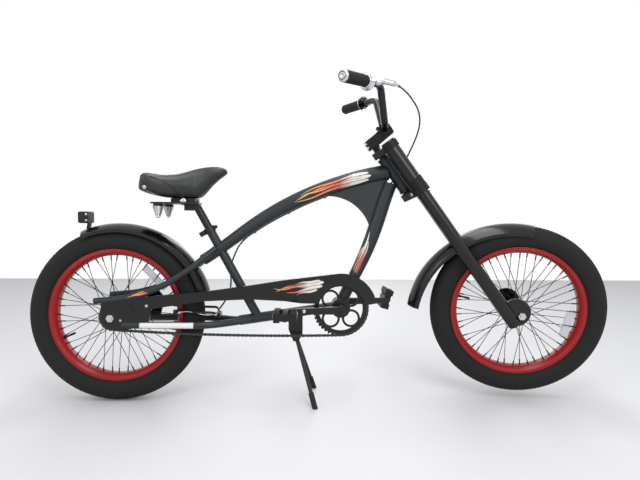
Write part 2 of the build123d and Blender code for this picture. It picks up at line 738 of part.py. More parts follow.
def crank():
    """Spindle, arms and pedal axles, forged and screwed together and turning as one."""
    body = bar_y(BRACKET_X, BRACKET_Z, -ARM_OUTER, ARM_OUTER, SPINDLE_RADIUS)
    hub_face = CHAIN_LINE + PLATE_THICK / 2
    body += bar_y(BRACKET_X, BRACKET_Z, -ARM_INNER, -hub_face, 15)
    body += bar_y(BRACKET_X, BRACKET_Z, SHELL_WIDTH / 2 + CUP_LIP + 2, ARM_INNER, 14)
    for side, angle in ((-1, CRANK_ANGLE), (1, CRANK_ANGLE - 180)):
        body += crank_arm(side, angle)
        x, z = pedal_centre(angle)
        body += bar_y(x, z, side * ARM_OUTER, side * (PEDAL_OUTER - 4), PEDAL_AXLE_RADIUS)
        body += bar_y(x, z, side * ARM_OUTER, side * (PEDAL_INNER - 1), PEDAL_AXLE_RADIUS + 3)
    return body


def pedal_centre(angle):
    """Where a crank arm at this angle holds its pedal's axle."""
    turn = radians(angle)
    return BRACKET_X + CRANK_LENGTH * cos(turn), BRACKET_Z + CRANK_LENGTH * sin(turn)


def pedal(side, angle, tilt):
    """A cage pedal on its axle: a barrel, two ribbed rubber treads and two end plates."""
    low, high = sorted((side * PEDAL_INNER, side * PEDAL_OUTER))
    barrel = bar_y(0, 0, low, high, PEDAL_AXLE_RADIUS + 5)
    treads = []
    for end in (-1, 1):
        tread = Pos(end * (PEDAL_LENGTH / 2 - 9), (low + high) / 2, 0) * Box(18, PEDAL_WIDTH, PEDAL_THICK)
        for k in range(5):
            y = low + (k + 1) * PEDAL_WIDTH / 6
            for face in (-1, 1):
                groove = Pos(end * (PEDAL_LENGTH / 2 - 9), y, face * PEDAL_THICK / 2) * Box(18, 5, 6)
                tread -= groove
        treads.append(tread)
    ends = Box(PEDAL_LENGTH - 30, 4, PEDAL_THICK - 8)
    body = barrel + treads[0] + treads[1]
    body += Pos(0, low + 2, 0) * ends
    body += Pos(0, high - 2, 0) * ends
    body -= bar_y(0, 0, side * (PEDAL_INNER - 5), side * (PEDAL_OUTER - 3), PEDAL_AXLE_RADIUS + RUNNING)
    x, z = pedal_centre(angle)
    return Location((x, 0, z), (0, -tilt, 0)) * body


def stand_bracket():
    """The stand's bracket: two cheeks under the lower tube, tied by a plate and a pivot pin."""
    top = lower_line(STAND_X)
    side_view = Polyline(
        (STAND_X - 24, top), (STAND_X - 24, STAND_Z + 26), (STAND_X - 8, STAND_Z - 13),
        (STAND_X + 8, STAND_Z - 13), (STAND_X + 21, STAND_Z + 12), (STAND_X + 21, top), close=True,
    )
    cheek = make_face(side_view)
    block = slab(cheek, -STAND_CHEEK, STAND_CHEEK)
    block -= Pos(STAND_X, 0, STAND_Z - 30) * Box(120, 2 * (STAND_CHEEK - 4), 2 * (top - STAND_Z - 14) + 40)
    block -= lower_tube_solid(LOWER_TUBE_RADIUS)
    pin = bar_y(STAND_X, STAND_Z, -STAND_CHEEK - 4, STAND_CHEEK + 4, STAND_PIN_RADIUS)
    return block + pin


def stand_legs():
    """The stand's two splayed legs on one yoke that swings on the pivot pin."""
    inner = STAND_CHEEK - 4.6
    body = bar_y(STAND_X, STAND_Z, -inner, inner, STAND_PIN_RADIUS + 6)
    for side in (-1, 1):
        top, knee, ground = stand_points(side)
        along = (ground - knee).normalized()
        body += rod([top, knee, ground - along * STAND_FOOT_LENGTH], [20], STAND_LEG_RADIUS)
    return body - bar_y(STAND_X, STAND_Z, -60, 60, STAND_PIN_RADIUS + RUNNING)


def stand_feet():
    """The rubber feet on the stand's legs."""
    made = []
    for side in (-1, 1):
        top, knee, ground = stand_points(side)
        along = (ground - knee).normalized()
        tip = ground - along * STAND_FOOT_LENGTH
        foot = between(tip - along * 24, ground + along * 8, STAND_FOOT_RADIUS)
        foot -= between(tip - along * 40, tip, STAND_LEG_RADIUS)
        made.append(foot & Pos(ground.X, ground.Y, FLOOR_Z + 250) * Box(200, 200, 500))
    return Compound(children=made)


def stand_points(side):
    """A stand leg's top, knee and the middle of its foot's print on the floor."""
    top = Vector(STAND_X, side * 9, STAND_Z)
    knee = Vector(STAND_X + 6, side * 11, STAND_Z - 22)
    ground = Vector(STAND_X + STAND_REACH, side * STAND_SPREAD, FLOOR_Z)
    return top, knee, ground


def fender(radius, drop, start, end):
    """A fender about the Y axis: an arched shell with short side walls, over part of a turn."""
    half, wall = FENDER_HALF_WIDTH, FENDER_WALL
    edge = radius - drop
    shoulder = edge + 10

    def across(inset):
        side = half - inset
        low = (shoulder, side)
        high = (shoulder, -side)
        line = Line((edge, side), low) + ThreePointArc(low, (radius - inset, 0), high)
        return line + Line(high, (edge, -side))

    outer, inner = across(0), across(wall)
    closing = Line((edge, half), (edge, half - wall)) + Line((edge, -half), (edge, -half + wall))
    section = make_face(outer + inner + closing)
    shell = revolve(section, axis=Axis.Y, revolution_arc=end - start)
    return Rot(0, -end, 0) * shell


def rear_fender():
    """The rear fender over the tyre's crown, from behind the seat tube to its tail."""
    return Pos(*REAR_FENDER_CENTRE) * fender(REAR_FENDER_RADIUS, REAR_FENDER_DROP, 16, REAR_FENDER_TAIL)


def front_fender():
    """The front fender, centred a little behind and below the wheel, in the fork's frame."""
    place = Pos(FORK_OFFSET + FRONT_FENDER_BACK, 0, -FORK_REACH + FRONT_FENDER_DOWN)
    level = Rot(0, 90 - HEAD_ANGLE, 0)
    return place * level * fender(FRONT_FENDER_RADIUS, FRONT_FENDER_DROP, 79, 171)


def rear_fender_bracket():
    """The bridge from the beam's tail to the rear fender's crown."""
    low, high = REAR_FENDER_RADIUS - 16, REAR_FENDER_RADIUS + BEAM_TAIL_GAP + 10
    block = Pos((low + high) / 2, 0, 0) * Box(high - low, 22, 20)
    block = Pos(*REAR_FENDER_CENTRE) * Rot(0, -BEAM_TAIL_ANGLE, 0) * block
    block -= bar_y(REAR_FENDER_CENTRE[0], REAR_FENDER_CENTRE[2], -60, 60, REAR_FENDER_RADIUS)
    return (block - round_loft(beam_stations())).solids().sort_by(SortBy.VOLUME)[-1]


def rear_reflector():
    """The boxy reflector housing on the fender's tail, on a small foot."""
    x, z = fender_point(REAR_FENDER_TAIL - 0.5)
    outline = [(-33, 20), (14, 24), (16, 54), (8, 58), (-28, 55), (-34, 48)]
    edge = Polyline(*[(x + ahead, z + rise) for ahead, rise in outline], close=True)
    body = slab(fillet(make_face(edge).vertices(), 3), -28, 28)
    foot = Pos(x, 0, z + 13) * Box(22, 24, 32)
    foot -= bar_y(REAR_FENDER_CENTRE[0], REAR_FENDER_CENTRE[2], -60, 60, REAR_FENDER_RADIUS)
    return body + foot.solids().sort_by(Axis.Z)[-1]


def headset():
    """The two headset cups, pressed on the head tube's ends, in which the steerer runs."""
    made = []
    for side in (-1, 1):
        low = side * HEAD_TUBE_LENGTH / 2
        ends = sorted((low, low + side * CUP_HEIGHT))
        cup = head_cylinder(CUP_RADIUS, *ends)
        skirt = sorted((low, low - side * 12))
        cup += head_cylinder(STEERER_RADIUS + 3.5, *skirt)
        made.append(cup - head_cylinder(STEERER_RADIUS + RUNNING, -100, 100))
    return Compound(children=made)


def on_axis(radius, low, high, out=0, across=0):
    """A cylinder along the steering axis in the fork's frame."""
    return Pos(out, across, (low + high) / 2) * Cylinder(radius, high - low)


def crown_plate(low, high):
    """A crown's flat plate: rounded round the steerer and both legs."""
    rounds = Circle(25) + Pos(LEG_OFFSET, LEG_SPREAD) * Circle(27) + Pos(LEG_OFFSET, -LEG_SPREAD) * Circle(27)
    return Pos(0, 0, low) * extrude(make_hull(rounds.edges()), high - low)


def cut_legs(shape):
    """Bores for the two fork legs."""
    for side in (-1, 1):
        shape -= on_axis(STANCHION_RADIUS, -400, 400, LEG_OFFSET, side * LEG_SPREAD)
    return shape


def lower_crown():
    """Steerer and lower crown, with tall clamps round the legs."""
    low = -CROWN_LEVEL - CROWN_THICK
    body = crown_plate(low, -CROWN_LEVEL)
    for side in (-1, 1):
        body += on_axis(SLEEVE_RADIUS, low, low + SLEEVE_HEIGHT, LEG_OFFSET, side * LEG_SPREAD)
    body += on_axis(STEERER_RADIUS + 5, -CROWN_LEVEL, -CROWN_LEVEL + 2)
    body += on_axis(STEERER_RADIUS, -CROWN_LEVEL, STEM_TOP)
    body -= on_axis(STEERER_RADIUS - 3, low - 1, STEM_TOP - 5)
    return cut_legs(body)


def upper_crown():
    """The upper crown, clamped on the steerer above the headset and round the legs' tops."""
    body = crown_plate(CROWN_LEVEL, CROWN_LEVEL + CROWN_THICK)
    body -= on_axis(STEERER_RADIUS + RUNNING, 0, 200)
    return cut_legs(body)


def fork_cover(side):
    """The wide cover tube round a leg between the two crowns."""
    low = -CROWN_LEVEL - CROWN_THICK + SLEEVE_HEIGHT
    tube = on_axis(COVER_RADIUS, low, CROWN_LEVEL, LEG_OFFSET, side * LEG_SPREAD)
    return tube - on_axis(STANCHION_RADIUS + SEAT_GAP, low, CROWN_LEVEL, LEG_OFFSET, side * LEG_SPREAD)


def fork_leg(side):
    """A fork leg: upper tube through both crowns, lower leg, and the dropout ear on its foot."""
    foot = -FORK_REACH - LEG_FOOT
    step = -CROWN_LEVEL - CROWN_THICK - 6
    top = CROWN_LEVEL + CROWN_THICK
    leg = on_axis(LEG_RADIUS, foot, step)
    leg = fillet(leg.edges().sort_by(Axis.Z)[0], 6)
    leg += on_axis(STANCHION_RADIUS, step, top)
    leg += on_axis(LEG_RADIUS + 2, step - 4, step)
    leg += on_axis(COVER_RADIUS, top, top + 5)
    leg -= on_axis(STANCHION_RADIUS - LEG_WALL, foot + 90, top - 4)
    ear = Pos(FORK_OFFSET - LEG_OFFSET - 8, -FORK_REACH + 18) * Circle(44)
    ear -= Pos(-100, -FORK_REACH) * Rectangle(200, 400)
    plate = slab(ear, -DROPOUT_THICK / 2, DROPOUT_THICK / 2)
    leg += plate
    leg -= bar_y(FORK_OFFSET - LEG_OFFSET, -FORK_REACH, -50, 50, AXLE_RADIUS)
    return Pos(LEG_OFFSET, side * LEG_SPREAD, 0) * leg


def front_fender_bridge():
    """The arch between the lower legs that carries the front fender."""
    centre = (FORK_OFFSET + FRONT_FENDER_BACK, -FORK_REACH + FRONT_FENDER_DOWN)
    top = centre[1] + sqrt(FRONT_FENDER_RADIUS**2 - (LEG_OFFSET - centre[0]) ** 2)
    bridge = Pos(LEG_OFFSET, 0, top + 9) * Box(16, 2 * LEG_SPREAD, 30)
    bridge -= bar_y(centre[0], centre[1], -100, 100, FRONT_FENDER_RADIUS)
    for side in (-1, 1):
        bridge -= on_axis(LEG_RADIUS, -800, 0, LEG_OFFSET, side * LEG_SPREAD)
    middle = Pos(LEG_OFFSET, 0, top) * Box(100, 2 * LEG_SPREAD - 2 * LEG_RADIUS, 100)
    return (bridge & middle).solids().sort_by(SortBy.VOLUME)[-1]


def stem():
    """The stem: clamped on the steerer's top, reaching forward and up to the bar's seat."""
    low = STEM_TOP - STEM_HEIGHT
    side_view = Polyline(
        (-24, low), (-24, STEM_TOP - 2), (20, STEM_TOP + 1), (STEM_REACH, STEM_RISE + 10),
        (STEM_REACH + 20, STEM_RISE - 8), (STEM_REACH + 18, low + 4), (20, low), close=True,
    )
    body = slab(fillet(make_face(side_view).vertices(), 3), -19, 19)
    body += bar_y(STEM_REACH, STEM_RISE, -23, 23, BAR_RADIUS + 8)
    body -= bar_y(STEM_REACH, STEM_RISE, -40, 40, BAR_RADIUS)
    return body - on_axis(STEERER_RADIUS, 0, STEM_TOP + 20)


def bar_corners(side):
    """The bar's corners from the stem out to one grip's end, in the bar's own frame."""
    return [
        Vector(STEM_REACH, side * 40, STEM_RISE),
        Vector(BAR_SHOULDER[0], side * BAR_SHOULDER[1], BAR_SHOULDER[2]),
        Vector(BAR_END[0], side * BAR_END[1], BAR_END[2]),
    ]


def bar_points():
    """The bar's corners from the right grip's end to the left one's."""
    return [*reversed(bar_corners(-1)), *bar_corners(1)]


def handlebar():
    """The bar: straight through the stem, up and out in two risers, then back to the grips."""
    return rod(bar_points(), BAR_BENDS, BAR_RADIUS) - rod(bar_points(), BAR_BENDS, BAR_RADIUS - TUBE_WALL)


def grip_run(side, start, length, radius, bore=0):
    """A round piece on the bar's end run, from a distance short of its end."""
    shoulder, end = bar_corners(side)[1:]
    along = (end - shoulder).normalized()
    middle = end - along * (start - length / 2)
    piece = Plane(origin=middle, z_dir=along) * Cylinder(radius, length)
    if bore:
        piece -= Plane(origin=middle, z_dir=along) * Cylinder(bore, length)
    return piece


def grip(side):
    """A rubber grip on the bar's end."""
    return grip_run(side, GRIP_LENGTH, GRIP_LENGTH, GRIP_RADIUS, BAR_RADIUS)


def grip_metal(side):
    """The chrome ring inboard of a grip and the chrome cap on the bar's end."""
    ring = grip_run(side, GRIP_LENGTH + 6, 6, RING_RADIUS, BAR_RADIUS)
    cap = grip_run(side, 0, 7, GRIP_RADIUS)
    return [ring, cap]


def brake_lever():
    """The brake lever on the right of the bar: clamp, body and a blade that reaches outward."""
    clamp = grip_run(-1, GRIP_LENGTH + 24, 14, BAR_RADIUS + 4, BAR_RADIUS)
    shoulder, end = bar_corners(-1)[1:]
    along = (end - shoulder).normalized()
    root = end - along * (GRIP_LENGTH + 17)
    pivot, nose, ball = Vector(*LEVER_PIVOT), Vector(*LEVER_NOSE), Vector(*LEVER_BALL)
    out = (Vector(*CABLE_BAR[1]) - nose).normalized()
    body = between(root, pivot, 7) + between(pivot, nose - out * 12, 8)
    body += between(nose - out * 24, nose - out * SEAT_GAP, 5)
    body += Pos(*pivot) * Sphere(9)
    body += between(pivot, ball, 4.5) + Pos(*ball) * Sphere(8.5)
    body -= rod(bar_points(), BAR_BENDS, BAR_RADIUS)
    return clamp + body


def saddle():
    """The saddle as one soft closed form about its clamp: its side view crossed with its plan."""
    side_edge = Polyline((-151, 24), (-151, 62), (-143, 76), (-126, 80))
    side_edge += ThreePointArc((-126, 80), (-67, 72), (-19, 81)) + ThreePointArc((-19, 81), (57, 103), (101, 99))
    side_edge += Polyline((101, 99), (111, 87), (103, 77), (83, 63), (63, 45), (46, 24), (32, 9), (20, SADDLE_BASE))
    side_edge += Polyline((20, SADDLE_BASE), (-60, SADDLE_BASE), (-97, 10), (-151, 24))
    half_plan = ThreePointArc((-151, -50), (-143, -96), (-118, -108))
    half_plan += ThreePointArc((-118, -108), (-47, -82), (8, -47))
    half_plan += ThreePointArc((8, -47), (60, -32), (101, -17)) + Line((101, -17), (111, -8))
    plan = make_face(half_plan + Polyline((111, -8), (111, 0), (-151, 0), (-151, -50)))
    plan += mirror(plan, Plane.XZ)
    return slab(make_face(side_edge), -130, 130) & extrude(plan, 200)


def saddle_chassis():
    """The carrier plate under the saddle, its block, the post's clamp and the clamp's bolt."""
    low = SADDLE_BASE - CARRIER_DROP
    plan = Polyline((-112, -74), (-60, -74), (22, -26), (22, 26), (-60, 74), (-112, 74), close=True)
    plate = Pos(0, 0, low) * extrude(make_face(plan), CARRIER_THICK)
    height = CARRIER_DROP - SEAT_GAP
    body = plate + Pos(-24, 0, low + height / 2) * Box(76, 60, height)
    body += Pos(-1, 0, low - 10) * Box(46, 34, 20)
    bolt_z = SADDLE_BASE - CLAMP_BOLT_RADIUS - SEAT_GAP
    body += bar_y(-22, bolt_z, -40, 40, 4)
    for side in (-1, 1):
        body += bar_y(-22, bolt_z, side * 30, side * 36, CLAMP_BOLT_RADIUS)
    return body - SADDLE_PLACE.inverse() * seat_cylinder(POST_RADIUS, 0, POST_TOP)


def saddle_spring(side):
    """One of the two conical coil springs under the saddle, drawn as a stack of narrowing coils."""
    coils, wire = 7, 3.4
    top = SADDLE_BASE - CARRIER_DROP
    foot = top - SPRING_LENGTH
    profile = [(17, top)]
    for k in range(coils):
        radius = 18 - 11 * k / (coils - 1)
        z = top - 4 - k * (top - 4 - foot) / coils
        profile += [(radius, z), (radius, z - wire), (radius - 2.2, z - wire - 1.6)]
    profile += [(5, foot), (2.5, foot), (2.5, foot + 6), (12, top - 6), (12, top)]
    cone = revolve(Plane.XZ * make_face(Polyline(*profile, close=True)), axis=Axis.Z)
    return Pos(-93, side * 56, 0) * cone


def rear_brake():
    """The rear caliper: a bridge between the chain stays and two arms to pads beside the rim."""
    body = bar_y(BRAKE_X, 252, -50, 50, 7)
    body += Pos(BRAKE_X, 0, 268) * Box(14, 34, 26)
    pad_x = RIM_RADIUS - 16
    for side in (-1, 1):
        arm = [(BRAKE_X, side * 12, 276), (BRAKE_X - 12, side * 48, 288), (pad_x, side * 48, 290)]
        body += rod(arm, [16], 4)
        body += Pos(pad_x, side * 38, 290) * Box(20, 16, 10)
        body -= chain_stay_rod(side, CHAIN_STAY_RADIUS)
    return body.solids().sort_by(SortBy.VOLUME)[-1]


def beside_beam(station):
    """A cable point on the beam's left, below its middle, at one of the beam's stations."""
    x, z, slope, radius = beam_stations()[station]
    reach = radius + CABLE_RADIUS + CABLE_CLEAR
    drop, turn = reach * sin(radians(45)), radians(slope)
    return Vector(x + sin(turn) * drop, reach * cos(radians(45)), z - cos(turn) * drop)


def first_clip():
    """Where the cable meets the beam's first clip, and its way along the beam there."""
    slope = radians(beam_stations()[4][2])
    return beside_beam(4), Vector(cos(slope), 0, sin(slope))


def cable_head():
    """The free cable's points beside the head tube, from the bar's part to the first clip."""
    meet, past = [(BAR_PLACE * Location(point)).position for point in (CABLE_BAR[-1], CABLE_PAST)]
    clip, ahead = first_clip()
    return [
        meet,
        past,
        Vector(HEAD_X - 12, 30, HEAD_Z - 34),
        Vector(HEAD_X - 55, 29, HEAD_Z - 32),
        clip + ahead * 40,
        clip,
    ]


def cable_frame():
    """The held cable's points, from the first clip along the beam and down to the rear brake."""
    clip, ahead = first_clip()
    along_beam = [clip - ahead * 30, beside_beam(3), beside_beam(2), beside_beam(1)]
    return [clip, *along_beam, *[Vector(*point) for point in CABLE_DOWN]]


def cable(points):
    """The brake cable's outer along a route."""
    return rod(points, cable_radii(points), CABLE_RADIUS)


def cable_radii(points):
    """For each corner of a route, the largest arc that its two runs allow."""
    radii = []
    for before, here, after in zip(points, points[1:], points[2:]):
        first, second = Vector(*here) - Vector(*before), Vector(*after) - Vector(*here)
        turn = radians(first.get_angle(second))
        radii.append(0.45 * min(first.length, second.length) / tan(turn / 2))
    print("cable runs", [round((Vector(*b) - Vector(*a)).length) for a, b in zip(points, points[1:])])
    print("cable radii", [round(radius) for radius in radii])
    return radii


def cable_clips():
    """Round clips that hold the cable on the beam, each on a short tongue."""
    points = cable_frame()
    runs = [(points[0], points[1])] + list(zip(points[1:4], points[2:5]))
    beam = round_loft(beam_stations())
    made = []
    for k, (start, end) in enumerate(runs):
        along = (end - start).normalized()
        middle = start + along * (CLIP_LENGTH / 2 + 1) if k == 0 else (start + end) / 2
        ends = middle - along * (CLIP_LENGTH / 2), middle + along * (CLIP_LENGTH / 2)
        ring = between(*ends, CABLE_RADIUS + CLIP_WALL)
        up = Vector(0, -1, 1).normalized()
        tongue = Plane(origin=middle + up * 8, x_dir=along, z_dir=up) * Box(CLIP_LENGTH, 3, 12)
        clip = ring + tongue - between(start, end, CABLE_RADIUS) - beam
        made.append(clip.solids().sort_by(SortBy.VOLUME)[-1])
    return made


def wheel_reflector(angle, flange_radius):
    """A reflector held between the two layers of spokes, which lie in grooves of its faces."""
    plate = Pos(REFLECTOR_OFFSET, 0, 0) * Box(24, 12, 96)
    plate = Rot(0, -angle, 0) * fillet(plate.edges().filter_by(Axis.Y), 6)
    for spoke in spoke_rods(flange_radius, SPOKE_THICK + 2 * SEAT_GAP):
        plate -= spoke
    return plate.solids().sort_by(SortBy.VOLUME)[-1]


def rim_with_valve(angle):
    """A rim with its tyre valve's stem through the spoke bed."""
    reach = RIM_RADIUS - RIM_DEPTH
    stem_rod = Pos(reach - 13, 0, 0) * Rot(0, 90, 0) * Cylinder(3, 30)
    return rim() + Rot(0, -angle, 0) * stem_rod


def write(name, shape, place=None):
    """Move a piece to its place, centre the bicycle between its axles and write it."""
    if isinstance(shape, (list, tuple)):
        shape = Compound(children=list(shape))
    if place is not None:
        shape = place * shape
    shape = TO_CENTRE * shape
    export_step(shape, f"parts/{name}.step")
    print(f"{name:24s} solids {len(shape.solids())}  volume {shape.volume / 1000:9.1f} cm3")


SEAT_TUBE_LENGTH = seat_crossing() + SEAT_TUBE_RISE
POST_TOP = SEAT_TUBE_LENGTH + POST_RISE
SADDLE_PLACE = Location(seat_line(POST_TOP))

os.makedirs("parts", exist_ok=True)
front_wheel = STEERED * FRONT_HUB

write("spine", spine())
write("lower_tube", lower_tube())
write("seat_tube", seat_tube())
write("seat_post", seat_post())
write("seat_collar", seat_collar())
write("stays", [chain_stay(-1), chain_stay(1), seat_stay(-1), seat_stay(1)])
write("dropouts", [dropout(-1), dropout(1)])
write("headset_cups", headset())
write("bracket_cups", bracket_cups())
write("rear_axle", axle(DROPOUT_INNER, DROPOUT_OUTER), REAR_HUB)
write("chain", chain())
write("chain_guard", chain_guard())
write("rear_fender", rear_fender())
write("rear_fender_bracket", rear_fender_bracket())
write("rear_reflector", rear_reflector())
write("saddle", saddle(), SADDLE_PLACE)
write("saddle_chassis", saddle_chassis(), SADDLE_PLACE)
write("saddle_springs", [saddle_spring(-1), saddle_spring(1)], SADDLE_PLACE)
write("rear_brake", rear_brake())
write("brake_cable_head", cable(cable_head()))
write("brake_cable_frame", cable(cable_frame()))
write("cable_clips", cable_clips())
write("stand_bracket", stand_bracket())

write("stand_legs", stand_legs())
write("stand_feet", stand_feet())

write("crank", crank())
write("chainring", chainring())
write("pedal_right", pedal(-1, CRANK_ANGLE, RIGHT_PEDAL_TILT))
write("pedal_left", pedal(1, CRANK_ANGLE - 180, LEFT_PEDAL_TILT))

write("lower_crown", lower_crown(), STEERED)
write("upper_crown", upper_crown(), STEERED)
write("fork_covers", [fork_cover(-1), fork_cover(1)], STEERED)
write("fork_legs", [fork_leg(-1), fork_leg(1)], STEERED)
write("front_axle", axle(LEG_SPREAD - DROPOUT_THICK / 2, FORK_PLATE_OUTER), front_wheel)
write("front_fender", front_fender(), STEERED)
write("front_fender_bridge", front_fender_bridge(), STEERED)
write("stem", stem(), BAR_PLACE)
write("handlebar", handlebar(), BAR_PLACE)
write("grips", [grip(-1), grip(1)], BAR_PLACE)
write("grip_metal", grip_metal(-1) + grip_metal(1), BAR_PLACE)
write("brake_lever", brake_lever(), BAR_PLACE)
write("brake_cable_bar", cable(CABLE_BAR), BAR_PLACE)

front_hub = hub(FRONT_SHELL_RADIUS, FRONT_FLANGE_RADIUS, hub_half(LEG_SPREAD - DROPOUT_THICK / 2), HUB_END_RADIUS)
rear_hub = hub(REAR_SHELL_RADIUS, REAR_FLANGE_RADIUS, hub_half(DROPOUT_INNER), DRIVER_RADIUS)
wheels = (
    ("front", front_wheel, front_hub, FRONT_FLANGE_RADIUS, FRONT_VALVE, FRONT_REFLECTOR),
    ("rear", REAR_HUB, rear_hub, REAR_FLANGE_RADIUS, REAR_VALVE, REAR_REFLECTOR),
)
for end, place, middle, flange, valve, reflector in wheels:
    write(f"{end}_tyre", tyre(), place)
    write(f"{end}_rim", rim_with_valve(valve), place)
    write(f"{end}_hub", middle, place)
    write(f"{end}_spokes", spoke_rods(flange, SPOKE_THICK), place)
    write(f"{end}_wheel_reflector", wheel_reflector(reflector, flange), place)
write("rear_sprocket", sprocket(), REAR_HUB)
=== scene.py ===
import json
import math

import bmesh
import bpy
import numpy as np
from mathutils import Matrix, Vector
from mathutils.bvhtree import BVHTree


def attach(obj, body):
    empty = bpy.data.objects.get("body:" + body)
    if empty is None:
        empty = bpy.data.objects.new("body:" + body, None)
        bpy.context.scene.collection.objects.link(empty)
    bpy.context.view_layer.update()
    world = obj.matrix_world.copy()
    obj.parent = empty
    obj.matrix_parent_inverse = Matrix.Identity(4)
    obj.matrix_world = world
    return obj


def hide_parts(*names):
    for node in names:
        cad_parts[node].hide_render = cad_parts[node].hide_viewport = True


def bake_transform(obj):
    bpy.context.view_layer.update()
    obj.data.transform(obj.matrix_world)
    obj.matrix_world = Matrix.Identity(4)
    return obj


# A chopper bicycle shown on a plain pale floor, seen from its right side.
# Metres, X forward, Y to the rider's left, Z up, floor at Z = 0, X = 0 midway between the axles.

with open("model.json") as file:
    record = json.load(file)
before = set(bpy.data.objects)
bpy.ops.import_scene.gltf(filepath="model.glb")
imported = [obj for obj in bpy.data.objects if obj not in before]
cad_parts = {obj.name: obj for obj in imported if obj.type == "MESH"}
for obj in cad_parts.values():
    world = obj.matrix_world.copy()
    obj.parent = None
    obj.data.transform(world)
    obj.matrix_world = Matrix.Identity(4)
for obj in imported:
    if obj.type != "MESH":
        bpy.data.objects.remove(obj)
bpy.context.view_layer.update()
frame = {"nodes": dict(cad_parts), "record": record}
nodes = frame["nodes"]

# BASE is the wheelbase. The steering axis stands at HEAD_TILT to the floor, the fork is turned about it by
# PARKED and the bar by BAR_TURN more. The front axle lies FORK_REACH down that axis and FORK_OFFSET ahead
# of it, at AHEAD_HEIGHT when the wheel points straight ahead.
BASE = 1.279
HEAD_TILT = math.radians(54)
PARKED = math.radians(-11.1)
BAR_TURN = math.radians(4.8)
AXLE_HEIGHT, AHEAD_HEIGHT = 0.274, 0.294
REAR_AXLE = np.array([-BASE / 2, 0, AXLE_HEIGHT])
FORK_REACH, FORK_OFFSET = 0.585, 0.0695
OUT = np.array([math.sin(HEAD_TILT), 0, math.cos(HEAD_TILT)])
UP = np.array([-math.cos(HEAD_TILT), 0, math.sin(HEAD_TILT)])
HEAD = np.array([BASE / 2, 0, AHEAD_HEIGHT]) + FORK_REACH * UP - FORK_OFFSET * OUT
CRANK_AHEAD, CRANK_HEIGHT = 0.706, 0.302
CRANK_CENTRE = np.array([CRANK_AHEAD - BASE / 2, 0, CRANK_HEIGHT])
CHAIN_PITCH, CHAIN_LINE = 0.0127, -0.047
CHAINRING_TEETH, SPROCKET_TEETH = 42, 20


def turn(axis, angle):
    """A 3 by 3 matrix that turns by an angle about an axis, right-handed."""
    return np.array(Matrix.Rotation(angle, 3, axis))


STEER = np.column_stack([OUT, [0, 1, 0], UP])
FORK = STEER @ turn("Z", PARKED)
BAR = FORK @ turn("Z", BAR_TURN)
LEVEL = turn("Y", math.pi / 2 - HEAD_TILT)
FRONT_AXLE = HEAD + FORK @ np.array([FORK_OFFSET, 0, -FORK_REACH])
FRONT = FORK @ LEVEL


# Mesh helpers


def circle(sides):
    """Angles that share one full turn evenly."""
    return np.linspace(0, 2 * np.pi, sides, endpoint=False)


def surface(name, grid, material, body, wrap_u=False, wrap_v=False):
    """A mesh from an (n, m, 3) grid of points; u runs along n, v along m, either may close on itself."""
    n, m = grid.shape[:2]
    rows = np.arange(n if wrap_u else n - 1)
    cols = np.arange(m if wrap_v else m - 1)
    i, j = np.meshgrid(rows, cols, indexing="ij")
    i2, j2 = (i + 1) % n, (j + 1) % m
    faces = np.stack([i * m + j, i2 * m + j, i2 * m + j2, i * m + j2], -1).reshape(-1, 4)
    fu = np.stack([i, i + 1, i + 1, i], -1).reshape(-1) / max(len(rows), 1)
    fv = np.stack([j, j, j + 1, j + 1], -1).reshape(-1) / max(len(cols), 1)
    return mesh(name, grid.reshape(-1, 3), faces, material, body, uv=(fu, fv))


def mesh(name, points, faces, material, body, smooth=True, uv=None, shut=True):
    """A mesh object from points and equal-sided faces, riding on a body where one is named. A shut one has
    its double points joined and its faces turned outward."""
    data = bpy.data.meshes.new(name)
    sides = faces.shape[1]
    data.vertices.add(len(points))
    data.vertices.foreach_set("co", np.asarray(points, np.float32).ravel())
    data.loops.add(faces.size)
    data.loops.foreach_set("vertex_index", faces.astype(np.int32).ravel())
    data.polygons.add(len(faces))
    data.polygons.foreach_set("loop_start", np.arange(0, faces.size, sides, dtype=np.int32))
    data.polygons.foreach_set("loop_total", np.full(len(faces), sides, np.int32))
    data.update(calc_edges=True)
    if uv is not None:
        layer = data.uv_layers.new(name="UVMap")
        layer.data.foreach_set("uv", np.stack(uv, -1).astype(np.float32).ravel())
    data.polygons.foreach_set("use_smooth", np.full(len(faces), smooth))
    data.materials.append(material)
    data.validate()
    if shut:
        work = bmesh.new()
        work.from_mesh(data)
        bmesh.ops.remove_doubles(work, verts=work.verts, dist=1e-6)
        bmesh.ops.recalc_face_normals(work, faces=work.faces)
        work.to_mesh(data)
        work.free()
    thing = bpy.data.objects.new(name, data)
    bpy.context.scene.collection.objects.link(thing)
    if body:
        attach(thing, body)
    return thing


def together(grids):
    """Several grids, each closed round itself and open at both ends, as one set of points and faces."""
    points, faces, count = [], [], 0
    for grid in grids:
        n, m = grid.shape[:2]
        i, j = np.meshgrid(np.arange(n - 1), np.arange(m), indexing="ij")
        one = np.stack([i * m + j, (i + 1) * m + j, (i + 1) * m + (j + 1) % m, i * m + (j + 1) % m], -1)
        points.append(grid.reshape(-1, 3))
        faces.append(one.reshape(-1, 4) + count)
        count += n * m
    return np.concatenate(points), np.concatenate(faces)


def crease(piece, degrees):
    """Shades a piece smooth apart from the edges that turn by more than this angle."""
    piece.data.set_sharp_from_angle(angle=math.radians(degrees))


def rings(first, second, sides):
    """Unit circles, one for each pair of square directions, turning from the first to the second."""
    a = circle(sides)
    return first[:, None] * np.cos(a)[None, :, None] + second[:, None] * np.sin(a)[None, :, None]


